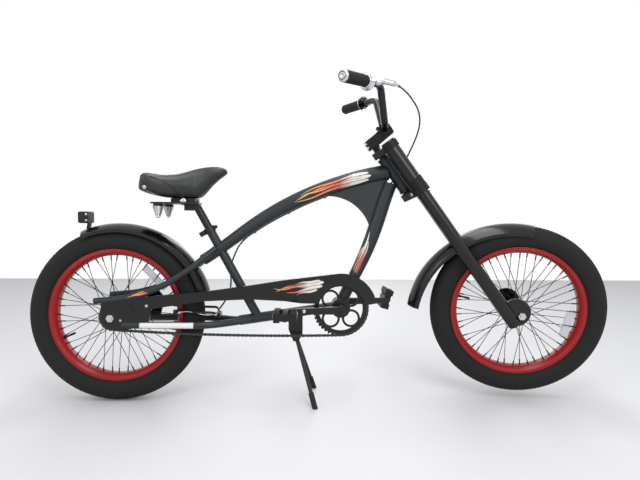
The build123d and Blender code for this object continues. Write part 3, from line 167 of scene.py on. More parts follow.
def sweep(path, radius, sides=16):
    """A tube's grid: circles of one radius set square to a path, drawn together to a point at both ends."""
    path = np.asarray(path, float)
    along = np.gradient(path, axis=0)
    along /= np.linalg.norm(along, axis=1, keepdims=True)
    spread = np.abs(along).mean(0)
    helper = np.eye(3)[int(np.argmin(spread))]
    first = np.cross(along, helper)
    first /= np.linalg.norm(first, axis=1, keepdims=True)
    grid = path[:, None] + rings(first, np.cross(along, first), sides) * radius
    start, end = (np.repeat(point[None, None], sides, 1) for point in (path[0], path[-1]))
    return np.concatenate([start, grid, end])


def smooth_path(corners, steps=24):
    """A smooth curve through points: centripetal spacing and cubic Hermite runs between them."""
    p = np.asarray(corners, float)
    t = np.concatenate([[0], np.cumsum(np.linalg.norm(np.diff(p, axis=0), axis=1) ** 0.5)])
    slope = np.gradient(p, t, axis=0)
    s = np.linspace(0, 1, steps, endpoint=False)[None, :, None]
    h = np.diff(t)[:, None, None]
    a, b = p[:-1, None], p[1:, None]
    da, db = slope[:-1, None] * h, slope[1:, None] * h
    run = (2 * s**3 - 3 * s**2 + 1) * a + (s**3 - 2 * s**2 + s) * da
    run = run + (3 * s**2 - 2 * s**3) * b + (s**3 - s**2) * db
    return np.concatenate([run.reshape(-1, 3), p[-1:]])


def lathe(profile, sides=48):
    """A grid of (radius, height) points turned about +Z."""
    p = np.asarray(profile, float)
    a = circle(sides)
    x = p[:, 0][:, None] * np.cos(a)
    y = p[:, 0][:, None] * np.sin(a)
    return np.stack([x, y, np.broadcast_to(p[:, 1][:, None], x.shape)], -1)


def place(grid, matrix, origin=(0, 0, 0)):
    """A grid turned by a matrix and moved to an origin."""
    return grid @ np.asarray(matrix).T + np.asarray(origin)


def toward(axis):
    """A matrix that takes +Z to the given direction."""
    z = np.asarray(axis, float) / np.linalg.norm(axis)
    helper = np.eye(3)[int(np.argmin(np.abs(z)))]
    x = np.cross(helper, z)
    x /= np.linalg.norm(x)
    return np.column_stack([x, np.cross(z, x), z])


# Materials


def shader_group(name, inputs, outputs):
    """An empty shader node group with its sockets."""
    group = bpy.data.node_groups.new(name, "ShaderNodeTree")
    for label, kind, value in inputs:
        socket = group.interface.new_socket(name=label, in_out="INPUT", socket_type=kind)
        socket.default_value = value
    for label, kind in outputs:
        group.interface.new_socket(name=label, in_out="OUTPUT", socket_type=kind)
    return group, group.nodes.new("NodeGroupInput"), group.nodes.new("NodeGroupOutput")


def math_node(tree, operation, *values):
    """The output of a math node whose inputs are numbers or other nodes' outputs."""
    node = tree.nodes.new("ShaderNodeMath")
    node.operation = operation
    for socket, value in zip(node.inputs, values):
        if isinstance(value, float):
            socket.default_value = value
        else:
            tree.links.new(value, socket)
    return node.outputs[0]


def finish_group():
    """Fine uneven finish from object coordinates: a roughness shift and a faint bump normal."""
    group, given, out = shader_group(
        "fine_finish",
        [("Scale", "NodeSocketFloat", 60.0), ("Shift", "NodeSocketFloat", 0.08),
         ("Roughness", "NodeSocketFloat", 0.4), ("Bump", "NodeSocketFloat", 0.02)],
        [("Roughness", "NodeSocketFloat"), ("Tone", "NodeSocketFloat"), ("Normal", "NodeSocketVector")],
    )
    new, link = group.nodes.new, group.links.new
    where = new("ShaderNodeTexCoord")
    fine = new("ShaderNodeTexNoise")
    fine.inputs["Detail"].default_value = 4
    link(where.outputs["Object"], fine.inputs["Vector"])
    link(given.outputs["Scale"], fine.inputs["Scale"])
    broad = new("ShaderNodeTexNoise")
    broad.inputs["Scale"].default_value = 7
    broad.inputs["Detail"].default_value = 3
    link(where.outputs["Object"], broad.inputs["Vector"])
    about_zero = math_node(group, "SUBTRACT", broad.outputs["Fac"], 0.5)
    rough = math_node(group, "MULTIPLY_ADD", about_zero, given.outputs["Shift"], given.outputs["Roughness"])
    bump = new("ShaderNodeBump")
    bump.inputs["Distance"].default_value = 0.0006
    link(given.outputs["Bump"], bump.inputs["Strength"])
    link(fine.outputs["Fac"], bump.inputs["Height"])
    link(rough, out.inputs["Roughness"])
    link(broad.outputs["Fac"], out.inputs["Tone"])
    link(bump.outputs["Normal"], out.inputs["Normal"])
    return group


FINE = finish_group()


def finish(name, color, roughness, metallic=0.0, coat=0.0, scale=60, shift=0.1, bump=0.05, mirror=0.5,
           lift=1.35):
    """A Principled material whose roughness varies a little over the object, and its tone from the colour to
    the colour times the lift."""
    made = bpy.data.materials.new(name)
    made.use_nodes = True
    tree = made.node_tree
    shade = tree.nodes["Principled BSDF"]
    fine = tree.nodes.new("ShaderNodeGroup")
    fine.node_tree = FINE
    for label, value in (("Scale", scale), ("Shift", shift), ("Roughness", roughness), ("Bump", bump)):
        fine.inputs[label].default_value = value
    tone = tree.nodes.new("ShaderNodeMix")
    tone.data_type = "RGBA"
    tone.inputs["A"].default_value = (*color, 1)
    tone.inputs["B"].default_value = (*[min(1, c * lift) for c in color], 1)
    tree.links.new(fine.outputs["Tone"], tone.inputs["Factor"])
    tree.links.new(tone.outputs["Result"], shade.inputs["Base Color"])
    for label in ("Roughness", "Normal"):
        tree.links.new(fine.outputs[label], shade.inputs[label])
    for label, value in (("Metallic", metallic), ("Coat Weight", coat), ("Coat Roughness", 0.06),
                         ("Specular IOR Level", mirror)):
        shade.inputs[label].default_value = value
    return made


# Paints, metals, rubbers and plastics
satin = finish("satin_frame_paint", (0.026, 0.031, 0.033), 0.40, metallic=0.30, bump=0.03, mirror=0.3)
gloss = finish("gloss_black_paint", (0.0030, 0.0030, 0.0034), 0.20, coat=0.22, bump=0.01, shift=0.06,
               mirror=0.3)
red = finish("red_rim_paint", (0.29, 0.005, 0.006), 0.34, coat=0.15, bump=0.01, mirror=0.3, lift=1.15)
tyre_rubber = finish("tyre_rubber", (0.0125, 0.0130, 0.0125), 0.75, bump=0.12, scale=220, shift=0.12,
                     mirror=0.2)
rubber = finish("soft_rubber", (0.008, 0.008, 0.008), 0.6, bump=0.1, scale=180, mirror=0.3)
chrome = finish("chrome", (0.60, 0.61, 0.63), 0.09, metallic=1.0, bump=0.0, shift=0.04, lift=1.05)
steel = finish("zinc_steel", (0.52, 0.52, 0.53), 0.32, metallic=1.0, bump=0.03, lift=1.15)
black_steel = finish("black_steel", (0.0055, 0.0055, 0.0060), 0.36, coat=0.12, bump=0.03, mirror=0.3)
vinyl = finish("black_vinyl", (0.0140, 0.0150, 0.0150), 0.42, bump=0.22, scale=420, mirror=0.45)
plastic = finish("black_plastic", (0.0065, 0.0065, 0.0070), 0.45, bump=0.08, scale=160, mirror=0.3)
clear = finish("pale_reflector", (0.52, 0.53, 0.55), 0.18, coat=0.8, bump=0.2, scale=320, lift=1.25)
amber = finish("amber_reflector", (0.75, 0.17, 0.01), 0.2, coat=0.8, bump=0.15, scale=320, lift=1.25)
chain_steel = finish("oiled_chain", (0.045, 0.043, 0.040), 0.42, metallic=0.8, bump=0.05)
crown_black = finish("crown_black", (0.0040, 0.0040, 0.0045), 0.5, bump=0.04, mirror=0.25)
cable_black = finish("cable_outer", (0.006, 0.006, 0.006), 0.36, coat=0.15, bump=0.0, mirror=0.35)
label_white = finish("blank_label", (0.80, 0.80, 0.79), 0.45, bump=0.0, lift=1.03)

# Each solid's finish, by the slot that it names
LOOK = {
    "frame_paint": satin, "black_paint": gloss, "rim_paint": red, "tyre": tyre_rubber, "chrome": chrome,
    "steel": steel, "black_steel": black_steel, "vinyl": vinyl, "rubber": rubber, "black_plastic": plastic,
    "clear_reflector": clear,
}
for part in frame["record"]["subparts"]:
    node = nodes[part["node"]]
    node.data.materials.clear()
    node.data.materials.append(LOOK[part["material_slot"]])
nodes["chain"].data.materials[0] = chain_steel
for crown in ("upper_crown", "lower_crown", "stem"):
    nodes[crown].data.materials[0] = crown_black


# Tyres: the outer skin carries the tread as shallow grooves


def pulse(x, width, edge):
    """1 inside a groove of this width centred on 0, falling to 0 over the edge."""
    return np.clip((width / 2 + edge / 2 - np.abs(x)) / edge, 0, 1)


def tyre_grid(pitches=112, steps=8):
    """Round section turned about Y: radius is the section circle less a groove depth, which follows rows
    across the crown and slanted cuts that repeat once per pitch round the wheel. The inside is a smaller arc,
    joined to the skin by the bead's lips."""
    centre, section, inside, groove, raised = 0.236, 0.038, 0.0325, 0.0015, 0.0006
    rows = np.array([0.0045, 0.0145, 0.0255, 0.034])
    crown = np.concatenate([[0, 0.0022]] + [b + np.array([-0.0016, -0.0008, 0.0008, 0.0016]) for b in rows])
    mids = np.array([0.0095, 0.020, 0.030])
    wall_ribs = np.array([0.055, 0.078])
    rib_edges = np.concatenate([b + np.array([-0.0015, -0.0005, 0.0005, 0.0015]) for b in wall_ribs])
    wall = np.array([0.039, 0.044, 0.050, 0.062, 0.068, 0.074, 0.083])
    half = np.sort(np.concatenate([crown, mids, wall, rib_edges]))
    across = np.concatenate([-half[:0:-1], half])
    theta = circle(pitches * steps)
    a, w = np.meshgrid(theta, across, indexing="ij")
    band = np.searchsorted(rows, np.abs(w[0]))[None, :] * np.ones_like(w)
    phase = a * pitches / (2 * np.pi) + 0.5 * band + np.abs(w) * 42 + (w < 0) * 0.5
    cut = pulse((phase % 1) - 0.5, 0.20, 0.14) * (band < 4)
    cut = cut * np.where(band == 0, 0.35, 1.0)
    ring = sum(pulse(np.abs(w) - b, 0.0018, 0.0008) for b in rows[:3])
    shoulder = np.clip((0.037 - np.abs(w)) / 0.004, 0, 1)
    depth = groove * np.maximum(cut, np.clip(ring, 0, 1)) * shoulder
    rib = raised * sum(pulse(np.abs(w) - b, 0.002, 0.001) for b in wall_ribs)
    lean = w / section
    r = centre + (section - depth) * np.cos(lean) + rib * np.cos(lean) * 0.5
    y = (section - depth) * np.sin(lean) + rib * np.sin(lean) * 0.3
    lip = np.array([(0.2106, 0.0222), (0.2034, 0.0222), (0.2034, 0.0176)])
    turn_in = np.linspace(2.1, -2.1, 13)
    inner = np.stack([centre + inside * np.cos(turn_in), inside * np.sin(turn_in)], -1)
    close = np.concatenate([lip, inner, lip[::-1] * (1, -1)])
    close = np.broadcast_to(close, (len(theta), *close.shape))
    r = np.concatenate([r, close[..., 0]], 1)
    y = np.concatenate([y, close[..., 1]], 1)
    return np.stack([r * np.cos(theta)[:, None], y, r * np.sin(theta)[:, None]], -1)


# Rows of end, axle's place and turn, body, radius of the hub's flange, and the valve's angle in degrees
WHEELS = (
    ("front", FRONT_AXLE, FRONT, "front_wheel", 0.030, 168),
    ("rear", REAR_AXLE, np.eye(3), "rear_wheel", 0.038, -156),
)
tyre_shape = tyre_grid()
for end, axle, matrix, body, flange, valve in WHEELS:
    skin = surface(f"{end}_tyre_skin", place(tyre_shape, matrix, axle), tyre_rubber, body, True, True)
    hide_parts(f"{end}_tyre")


# Rims, spokes with their nipples, and valves


def wheel_lathe(profile, sides=240):
    """A closed (radius, y) outline turned about Y."""
    p = np.asarray(profile, float)
    a = circle(sides)[:, None]
    return np.stack([p[:, 0] * np.cos(a), p[:, 1] + 0 * a, p[:, 0] * np.sin(a)], -1)


def spoke_grids(flange, thick=0.00105, nipple=0.0021, rim_radius=0.1889, count=48):
    """Each spoke is a straight tube of even thickness from its flange hole to the rim, stepped up to a nipple
    at the end. Sides take turns, and so does the way that each pair leans."""
    k = np.arange(count)
    side = np.where(k % 2 == 1, 1.0, -1.0)
    lace = np.where(k % 4 < 2, 1.0, -1.0)
    at_rim = 2 * np.pi * k / count
    at_hub = at_rim + lace * math.radians(42)
    y = side * (0.031 + lace * 0.0032)
    start = np.stack([(flange - 0.003) * np.cos(at_hub), y, (flange - 0.003) * np.sin(at_hub)], -1)
    end = np.stack([rim_radius * np.cos(at_rim), side * 0.005, rim_radius * np.sin(at_rim)], -1)
    share = np.array([0, 0, 0.905, 0.905, 0.91, 1, 1])
    radius = np.array([0, thick, thick, nipple * 0.8, nipple, nipple, 0])
    along = end - start
    unit = along / np.linalg.norm(along, axis=1, keepdims=True)
    first = np.cross(unit, [0, 1, 0])
    first /= np.linalg.norm(first, axis=1, keepdims=True)
    ring = rings(first, np.cross(unit, first), 8)
    middle = start[:, None] + along[:, None] * share[None, :, None]
    return middle[:, :, None] + ring[:, None] * radius[None, :, None, None]


# Half of the rim's outline: the tyre's side from the lip to the well, and the hub's side back out to the lip
RIM_LIP = [(0.2092, 0.0250), (0.2100, 0.0242), (0.2100, 0.0230), (0.2090, 0.0224), (0.2030, 0.0224),
           (0.2030, 0.0104), (0.1980, 0.0074)]
RIM_WALL = [(0.1890, 0.0116), (0.1897, 0.0128), (0.1978, 0.0236), (0.1996, 0.0250), (0.2028, 0.0250),
            (0.2034, 0.0246), (0.2040, 0.0250)]
RIM_INSIDE = 0.1888
VALVE = [(0, 0.038), (0.0030, 0.038), (0.0036, 0.036), (0.0036, 0.022), (0.0030, 0.021), (0.0030, 0.012),
         (0.0044, 0.006), (0.0050, 0), (0, 0)]


def mirrored(outline):
    """The same (radius, y) points on the other side, in the opposite order."""
    return [(r, -y) for r, y in outline[::-1]]


rim_outline = RIM_LIP + mirrored(RIM_LIP) + mirrored(RIM_WALL) + RIM_WALL
for end, axle, matrix, body, flange, valve in WHEELS:
    hoop = surface(f"{end}_rim_skin", place(wheel_lathe(rim_outline), matrix, axle), red, body, True, True)
    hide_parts(f"{end}_rim")
    points, faces = together(spoke_grids(flange))
    wires = mesh(f"{end}_spoke_wires", place(points, matrix, axle), faces, black_steel, body)
    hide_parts(f"{end}_spokes")
    inward = turn("Y", math.radians(-valve)) @ np.array([-1.0, 0, 0])
    standing = place(lathe(VALVE, 20), toward(inward), -RIM_INSIDE * inward)
    valve_stem = surface(f"{end}_valve", place(standing, matrix, axle), rubber, body, wrap_v=True)


# Chain: side plates and rollers laid on the same loop as the solid chain


def pitch_radius(teeth):
    """The radius on which the chain's joints lie on a wheel of so many teeth."""
    return CHAIN_PITCH / 2 / math.sin(math.pi / teeth)


def chain_joints():
    """Joints of the chain in the side view: a straight upper run, a lower run that sags a little, and two
    wrapped arcs."""
    big, small = pitch_radius(CHAINRING_TEETH), pitch_radius(SPROCKET_TEETH)
    rise, sag = CRANK_HEIGHT - AXLE_HEIGHT, 0.008
    span = math.hypot(CRANK_AHEAD, rise)
    lean, tilt = math.asin((big - small) / span), math.atan2(rise, CRANK_AHEAD)
    top, low = tilt + math.pi / 2 + lean, tilt - math.pi / 2 - lean
    run, wrap = math.sqrt(span**2 - (big - small) ** 2), big * (math.pi + 2 * lean)
    total = 2 * run + wrap + small * (math.pi - 2 * lean)
    count = 2 * round(total / CHAIN_PITCH / 2)
    travel = np.arange(count) * total / count

    def on_ring(angle):
        return np.stack([CRANK_AHEAD + big * np.cos(angle), CRANK_HEIGHT + big * np.sin(angle)], -1)

    def on_sprocket(angle):
        return np.stack([small * np.cos(angle), AXLE_HEIGHT + small * np.sin(angle)], -1)

    share = (travel / run)[:, None]
    upper = on_sprocket(top) * (1 - share) + on_ring(top) * share
    front = on_ring(top - (travel - run) / big)
    share = ((travel - run - wrap) / run)[:, None]
    lower = on_ring(low) * (1 - share) + on_sprocket(low) * share
    lower = lower - np.array([0, 4 * sag]) * share * (1 - share)
    rear = on_sprocket(low - (travel - 2 * run - wrap) / small)
    zone = np.searchsorted([run, run + wrap, 2 * run + wrap], travel, side="right")
    picked = np.stack([upper, front, lower, rear])[zone, np.arange(count)]
    return picked - np.array([BASE / 2, 0])


def link_plates(joints, offset, thick, waist):
    """A figure-of-eight plate from each joint to the next: its outline at both faces, drawn in to the middle
    line outside them."""
    here, after = joints, np.roll(joints, -1, 0)
    along = after - here
    length = np.linalg.norm(along, axis=1, keepdims=True)
    along, square = along / length, np.stack([-along[:, 1], along[:, 0]], -1) / length
    bow = np.linspace(-1.9, 1.9, 6)
    lobe = np.stack([0.0063 + 0.0042 * np.cos(bow), 0.0042 * np.sin(bow)], -1)
    ends = np.concatenate([lobe, [[0, waist]], -lobe, [[0, -waist]]])
    rows = []
    for y, grow in ((-thick / 2, 0.0), (-thick / 2, 1.0), (thick / 2, 1.0), (thick / 2, 0.0)):
        shape = ends * (1 if grow else 0.6, grow)
        flat = (here + after)[:, None] / 2 + along[:, None] * shape[:, :1] + square[:, None] * shape[:, 1:]
        level = np.full(flat.shape[:2], CHAIN_LINE + offset + y)
        rows.append(np.stack([flat[..., 0], level, flat[..., 1]], -1))
    return np.stack(rows, 1)


def link_rollers(joints):
    """A pin and roller at each joint: a stepped round bar along Y."""
    pin, roller = 0.0018, 0.0038
    y = np.array([-0.0042, -0.0042, -0.0026, -0.0026, -0.0012, 0.0012, 0.0026, 0.0026, 0.0042, 0.0042])
    r = np.array([0, pin, pin, roller, roller, roller, roller, pin, pin, 0])
    a = circle(10)
    x = joints[:, None, None, 0] + r[None, :, None] * np.cos(a)
    z = joints[:, None, None, 1] + r[None, :, None] * np.sin(a)
    return np.stack([x, CHAIN_LINE + y[None, :, None] + 0 * x, z], -1)


def chain():
    """Outer and inner plates in turn on both sides, with a roller at every joint."""
    joints = chain_joints()
    plates = []
    for first_link, offset in ((0, 0.0031), (1, 0.0021)):
        for side in (-1, 1):
            plates += list(link_plates(joints, side * offset, 0.001, 0.0027)[first_link::2])
    points, faces = together(plates + list(link_rollers(joints)))
    links = mesh("chain_links", points, faces, chain_steel, "frame", smooth=False)
    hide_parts("chain")


chain()


# Saddle


# The saddle's lines as rows of X from the rear axle and a height or half width
SADDLE_TOP = [
    (0.086, 0.7130), (0.094, 0.7195), (0.111, 0.7208), (0.141, 0.7140), (0.171, 0.7126), (0.196, 0.7154),
    (0.218, 0.7220), (0.243, 0.7316), (0.269, 0.7398), (0.294, 0.7441), (0.319, 0.7447), (0.339, 0.7405),
    (0.348, 0.7315),
]
SADDLE_LOW = [
    (0.086, 0.6650), (0.122, 0.6570), (0.141, 0.6510), (0.156, 0.6462), (0.178, 0.6436), (0.205, 0.6432),
    (0.228, 0.6432), (0.257, 0.6436), (0.269, 0.6493), (0.283, 0.6648), (0.300, 0.6860), (0.321, 0.7040),
    (0.341, 0.7165), (0.348, 0.7215),
]
SADDLE_HALF_WIDTH = [
    (0.086, 0.0660), (0.090, 0.0850), (0.100, 0.1010), (0.112, 0.1075), (0.130, 0.1065), (0.160, 0.0960),
    (0.190, 0.0800), (0.220, 0.0620), (0.250, 0.0460), (0.280, 0.0360), (0.310, 0.0290), (0.330, 0.0230),
    (0.348, 0.0100),
]


def soften(values, times=2):
    """Rounds off a profile by averaging each value with its neighbours several times."""
    for _ in range(times):
        values = np.concatenate([values[:1], (values[:-2] + 2 * values[1:-1] + values[2:]) / 4, values[-1:]])
    return values


def saddle_grid(n=120, m=96, grow=0.0):
    """Superelliptic sections square to X: broad and flat-topped at the back, round at the nose, leaning
    forward at the rear end and closed at both ends. Growth moves the sides and the upper half out."""
    ease = np.linspace(0, 1, n)
    x = 0.0865 + 0.261 * (0.5 * ease + 0.25 - 0.25 * np.cos(np.pi * ease))
    top, low, wide = (soften(np.interp(x, *np.transpose(line)))
                      for line in (SADDLE_TOP, SADDLE_LOW, SADDLE_HALF_WIDTH))
    a = circle(m)
    c, s = np.cos(a), np.sin(a)
    share = np.clip((x - 0.12) / 0.16, 0, 1)[:, None]
    across = np.sign(c) * np.abs(c) ** (2 / (5.5 - 3.1 * share))
    height = np.sign(s) * np.abs(s) ** (2 / (5.0 - 2.7 * share))
    middle, half = (top + low)[:, None] / 2, (top - low)[:, None] / 2
    pull = 1 - 0.05 * (height < 0) * np.abs(height)
    y = (wide[:, None] + grow) * across * pull
    z = middle + (half + grow * (height > 0)) * height
    lean = 0.22 * (z - 0.668) * np.clip((0.130 - x) / 0.044, 0, 1)[:, None]
    grid = np.stack([x[:, None] + lean - BASE / 2, y, z], -1)
    caps = [np.repeat(g.mean(0)[None, None], m, 1) for g in (grid[0], grid[-1])]
    return np.concatenate([caps[0], grid, caps[1]])


SADDLE_SEAM = np.array([
    (0.084, 0.7050), (0.106, 0.7070), (0.127, 0.7055), (0.153, 0.6985), (0.177, 0.6856), (0.195, 0.6710),
    (0.205, 0.6575), (0.210, 0.6500),
])


def seam_distance(points):
    """How far each point is from the seam, both seen from the side."""
    flat = points[:, [0, 2]] + np.array([BASE / 2, 0])
    start, run = SADDLE_SEAM[:-1], np.diff(SADDLE_SEAM, axis=0)
    share = ((flat[:, None] - start) * run).sum(-1) / (run**2).sum(-1)
    nearest = start + np.clip(share, 0, 1)[..., None] * run
    return np.linalg.norm(flat[:, None] - nearest, axis=-1).min(1)


def apply_modifiers(piece):
    """The piece's mesh becomes what its modifiers make of it."""
    bpy.context.view_layer.update()
    seen = piece.evaluated_get(bpy.context.evaluated_depsgraph_get())
    baked = bpy.data.meshes.new_from_object(seen)
    piece.modifiers.clear()
    piece.data = baked


def corners(data):
    """A mesh's vertices as an array."""
    flat = np.empty(len(data.vertices) * 3, np.float32)
    data.vertices.foreach_get("co", flat)
    return flat.reshape(-1, 3)


def puff(piece, most, steps=20):
    """Cloth held along the seam and at the lower edge swells under a light inside pressure; no point moves
    further than the most."""
    seam_half, lower_edge = 0.0035, 0.6475
    even = piece.modifiers.new("even", "REMESH")
    even.mode = "VOXEL"
    even.voxel_size = 0.005
    apply_modifiers(piece)
    before = corners(piece.data)
    held = piece.vertex_groups.new(name="held")
    pinned = (seam_distance(before) < seam_half) | (before[:, 2] < lower_edge)
    held.add(np.flatnonzero(pinned).tolist(), 1.0, "REPLACE")
    cloth = piece.modifiers.new("cloth", "CLOTH")
    cloth.settings.use_pressure = True
    cloth.settings.uniform_pressure_force = 4
    cloth.settings.effector_weights.gravity = 0
    cloth.settings.mass = 0.3
    cloth.settings.vertex_group_mass = "held"
    cloth.point_cache.frame_start, cloth.point_cache.frame_end = 1, steps
    for step in range(1, steps + 1):
        bpy.context.scene.frame_set(step)
        bpy.context.view_layer.update()
    apply_modifiers(piece)
    bpy.context.scene.frame_set(1)
    moved = corners(piece.data) - before
    far = np.linalg.norm(moved, axis=1, keepdims=True)
    after = before + moved * np.minimum(1, most / np.maximum(far, 1e-9))
    piece.data.vertices.foreach_set("co", after.ravel())
    piece.data.update()


saddle = surface("saddle_cover", saddle_grid(grow=-0.002), vinyl, None, wrap_v=True)
puff(saddle, 0.004)
fine = saddle.modifiers.new("fine", "SUBSURF")
fine.levels = fine.render_levels = 1
apply_modifiers(saddle)
saddle.data.polygons.foreach_set("use_smooth", np.full(len(saddle.data.polygons), True))
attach(saddle, "frame")
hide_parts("saddle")


def surface_tree(thing):
    """A search tree of an object's faces."""
    bpy.context.view_layer.update()
    return BVHTree.FromObject(thing, bpy.context.evaluated_depsgraph_get())


def meet(tree, start, way):
    """Where a ray first meets a surface, and the way the face there looks."""
    spot, normal, _, _ = tree.ray_cast(Vector(start), Vector(way))
    if spot is None:
        raise ValueError(f"the line from {start} meets nothing")
    if normal.dot(Vector(way)) > 0:
        normal = -normal
    return np.array(spot), np.array(normal)


def saddle_seam():
    """The piping: a thin round line laid on the cover, up one side, round the back and down the other."""
    tree = surface_tree(saddle)
    side = [meet(tree, (x - BASE / 2, -0.3, z), (0, 1, 0))[0] for x, z in SADDLE_SEAM[:0:-1]]
    back = [meet(tree, (-0.8, y, 0.7065), (1, 0, 0))[0] for y in np.linspace(-0.088, 0.088, 9)]
    line = np.array(side + back + [point * (1, -1, 1) for point in side[::-1]])
    line = smooth_path(line, 10)
    piping = surface("saddle_piping", sweep(line, 0.0011, 8), plastic, "frame", wrap_v=True)


saddle_seam()


def saddle_coils():
    """Two conical coil springs of round wire, each narrowing to a ball foot under a black cup."""
    share = np.linspace(0, 1, 300)
    turns = 2 * np.pi * 11.5 * share
    radius = 0.0172 - 0.0108 * share
    height = 0.6190 - 0.0325 * share
    helix = np.stack([radius * np.cos(turns), radius * np.sin(turns), height], -1)
    wire = sweep(helix, 0.0014, 8)
    cup = lathe([(0, 0.6248), (0.0145, 0.6248), (0.0155, 0.6238), (0.0155, 0.6200), (0.0140, 0.6192),
                 (0, 0.6192)], 28)
    foot = lathe([(0, 0.5815), (0.0042, 0.5822), (0.0062, 0.5845), (0.0064, 0.5866), (0.0045, 0.5890),
                  (0.0024, 0.5898), (0.0024, 0.6195), (0, 0.6195)], 20)
    for name, shape, material, slot in (
        ("saddle_coils", wire, chrome, "chrome"),
        ("saddle_spring_cups", cup, plastic, "black_plastic"),
        ("saddle_spring_feet", foot, chrome, "chrome"),
    ):
        pair = [shape + np.array([-0.4955, side * 0.056, 0]) for side in (-1, 1)]
        piece = mesh(name, *together(pair), material, "frame")
        if name == "saddle_coils":
            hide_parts("saddle_springs")


saddle_coils()


# Brake cable: the free stretch from the lever to the beam's first clip, drawn for the bar's present turn; on
# the bike this stretch bends with the steering

CABLE_RADIUS = 0.0025
# Control points, first in the bar's frame from the lever to the head, then from the head toward the beam
CABLE_BAR = [
    (0.1345, -0.161, 0.206), (0.151, -0.122, 0.186), (0.163, -0.074, 0.157), (0.1695, -0.032, 0.125),
    (0.164, 0.004, 0.096), (0.146, 0.026, 0.071), (0.110, 0.033, 0.045), (0.066, 0.0318, 0.021),
    (0, 0.0293, -0.0133),
]
CABLE_HEAD = [(-0.012, 0.030, -0.034), (-0.055, 0.029, -0.032)]
FIRST_CLIP = np.array([0.7419 - BASE / 2, 0.0223, 0.6838])
BEAM_AHEAD = np.array([0.951057, 0, 0.309017])


def spline_points(name, control):
    """Points along the NURBS line of order 3 that these control points draw."""
    data = bpy.data.curves.new(name, "CURVE")
    data.dimensions = "3D"
    data.resolution_u = 16
    spline = data.splines.new("NURBS")
    spline.points.add(len(control) - 1)
    spline.points.foreach_set("co", np.column_stack([control, np.ones(len(control))]).ravel())
    spline.order_u = 3
    spline.use_endpoint_u = True
    thing = bpy.data.objects.new(name, data)
    bpy.context.scene.collection.objects.link(thing)
    bpy.context.view_layer.update()
    line = bpy.data.meshes.new_from_object(thing.evaluated_get(bpy.context.evaluated_depsgraph_get()))
    points = corners(line).astype(float)
    bpy.data.objects.remove(thing)
    return points


def brake_cable():
    """The free stretch of the outer, as one tube, and its ferrule at the lever."""
    control = np.concatenate([
        place(np.array(CABLE_BAR), BAR, HEAD),
        HEAD + np.array(CABLE_HEAD),
        [FIRST_CLIP + BEAM_AHEAD * 0.040, FIRST_CLIP],
    ])
    line = spline_points("cable_line", control)
    tube = surface("brake_cable", sweep(line, CABLE_RADIUS, 14), cable_black, None, wrap_v=True)
    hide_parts("brake_cable_bar", "brake_cable_head")
    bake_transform(tube)
    sleeve = [(0, 0), (0.0036, 0), (0.0036, 0.012), (0.0031, 0.0135), (0.0026, 0.014), (0.0026, 0.010)]
    sleeve = place(lathe(sleeve, 20), toward(line[6] - line[0]), line[0])
    ferrule = surface("cable_ferrule", sleeve, black_steel, "steering", wrap_v=True)


brake_cable()


# Bolts: each head is seated on the face that a line along Y meets first


def bolt_head(radius, height, sides=24):
    """A domed head about +Z with a six-sided socket: shares of radius and height, from the socket's floor out
    over the dome and down into the seat."""
    socket = 0.48
    dome = np.array([(0, 0.35), (socket, 0.35), (socket, 0.97), (0.60, 1.0), (0.82, 0.90), (0.95, 0.62),
                     (1.0, 0.25), (1.0, -0.3)])
    a = circle(sides)
    six = math.cos(math.pi / 6) / np.cos((a % (math.pi / 3)) - math.pi / 6)
    reach = dome[:, :1] * np.where(dome[:, :1] == socket, six, 1.0) * radius
    rise = np.broadcast_to(dome[:, 1:] * height, reach.shape)
    return np.stack([reach * np.cos(a), reach * np.sin(a), rise], -1)


def seat_bolts(name, body, rows):
    """One mesh of a body's bolts, from rows of node, X from the rear axle, Z, side, radius and height."""
    grids = []
    for node, x, z, side, radius, height in rows:
        spot, normal = meet(trees[node], (x - BASE / 2, side * 0.4, z), (0, -side, 0))
        grids.append(place(bolt_head(radius, height), toward(normal), spot))
    heads = mesh(name, *together(grids), steel, body)
    crease(heads, 35)


STEM_BOLTS = [("stem", 0.7820, 0.8174, -1, 0.0042, 0.004), ("stem", 0.7896, 0.8065, -1, 0.0042, 0.004)]
CROWN_BOLTS = [row for side in (-1, 1) for row in (("upper_crown", 0.8222, 0.7987, side, 0.0058, 0.0036),
                                                   ("lower_crown", 0.9207, 0.6591, side, 0.0060, 0.0040))]
FRAME_BOLTS = [("chain_guard", 0.110, 0.3124, -1, 0.0048, 0.0030),
               ("dropouts", 0.030, 0.2667, -1, 0.0040, 0.0030)]
trees = {row[0]: surface_tree(nodes[row[0]]) for row in STEM_BOLTS[1:] + CROWN_BOLTS[:2] + FRAME_BOLTS}
seat_bolts("steering_bolts", "steering", STEM_BOLTS + CROWN_BOLTS)
seat_bolts("frame_bolts", "frame", FRAME_BOLTS)


def stem_cap_screws():
    """Four black cap screws that draw the stem's cap onto the bar, two ahead of it and two behind."""
    bar_ahead, cap_top = 0.054, 0.1478
    heads = [place(bolt_head(0.0046, 0.0065) + (bar_ahead + ahead, across, cap_top), BAR, HEAD)
             for ahead in (-0.0165, 0.0165) for across in (-0.014, 0.014)]
    made = mesh("stem_cap_screws", *together(heads), black_steel, "steering")
    crease(made, 35)


stem_cap_screws()


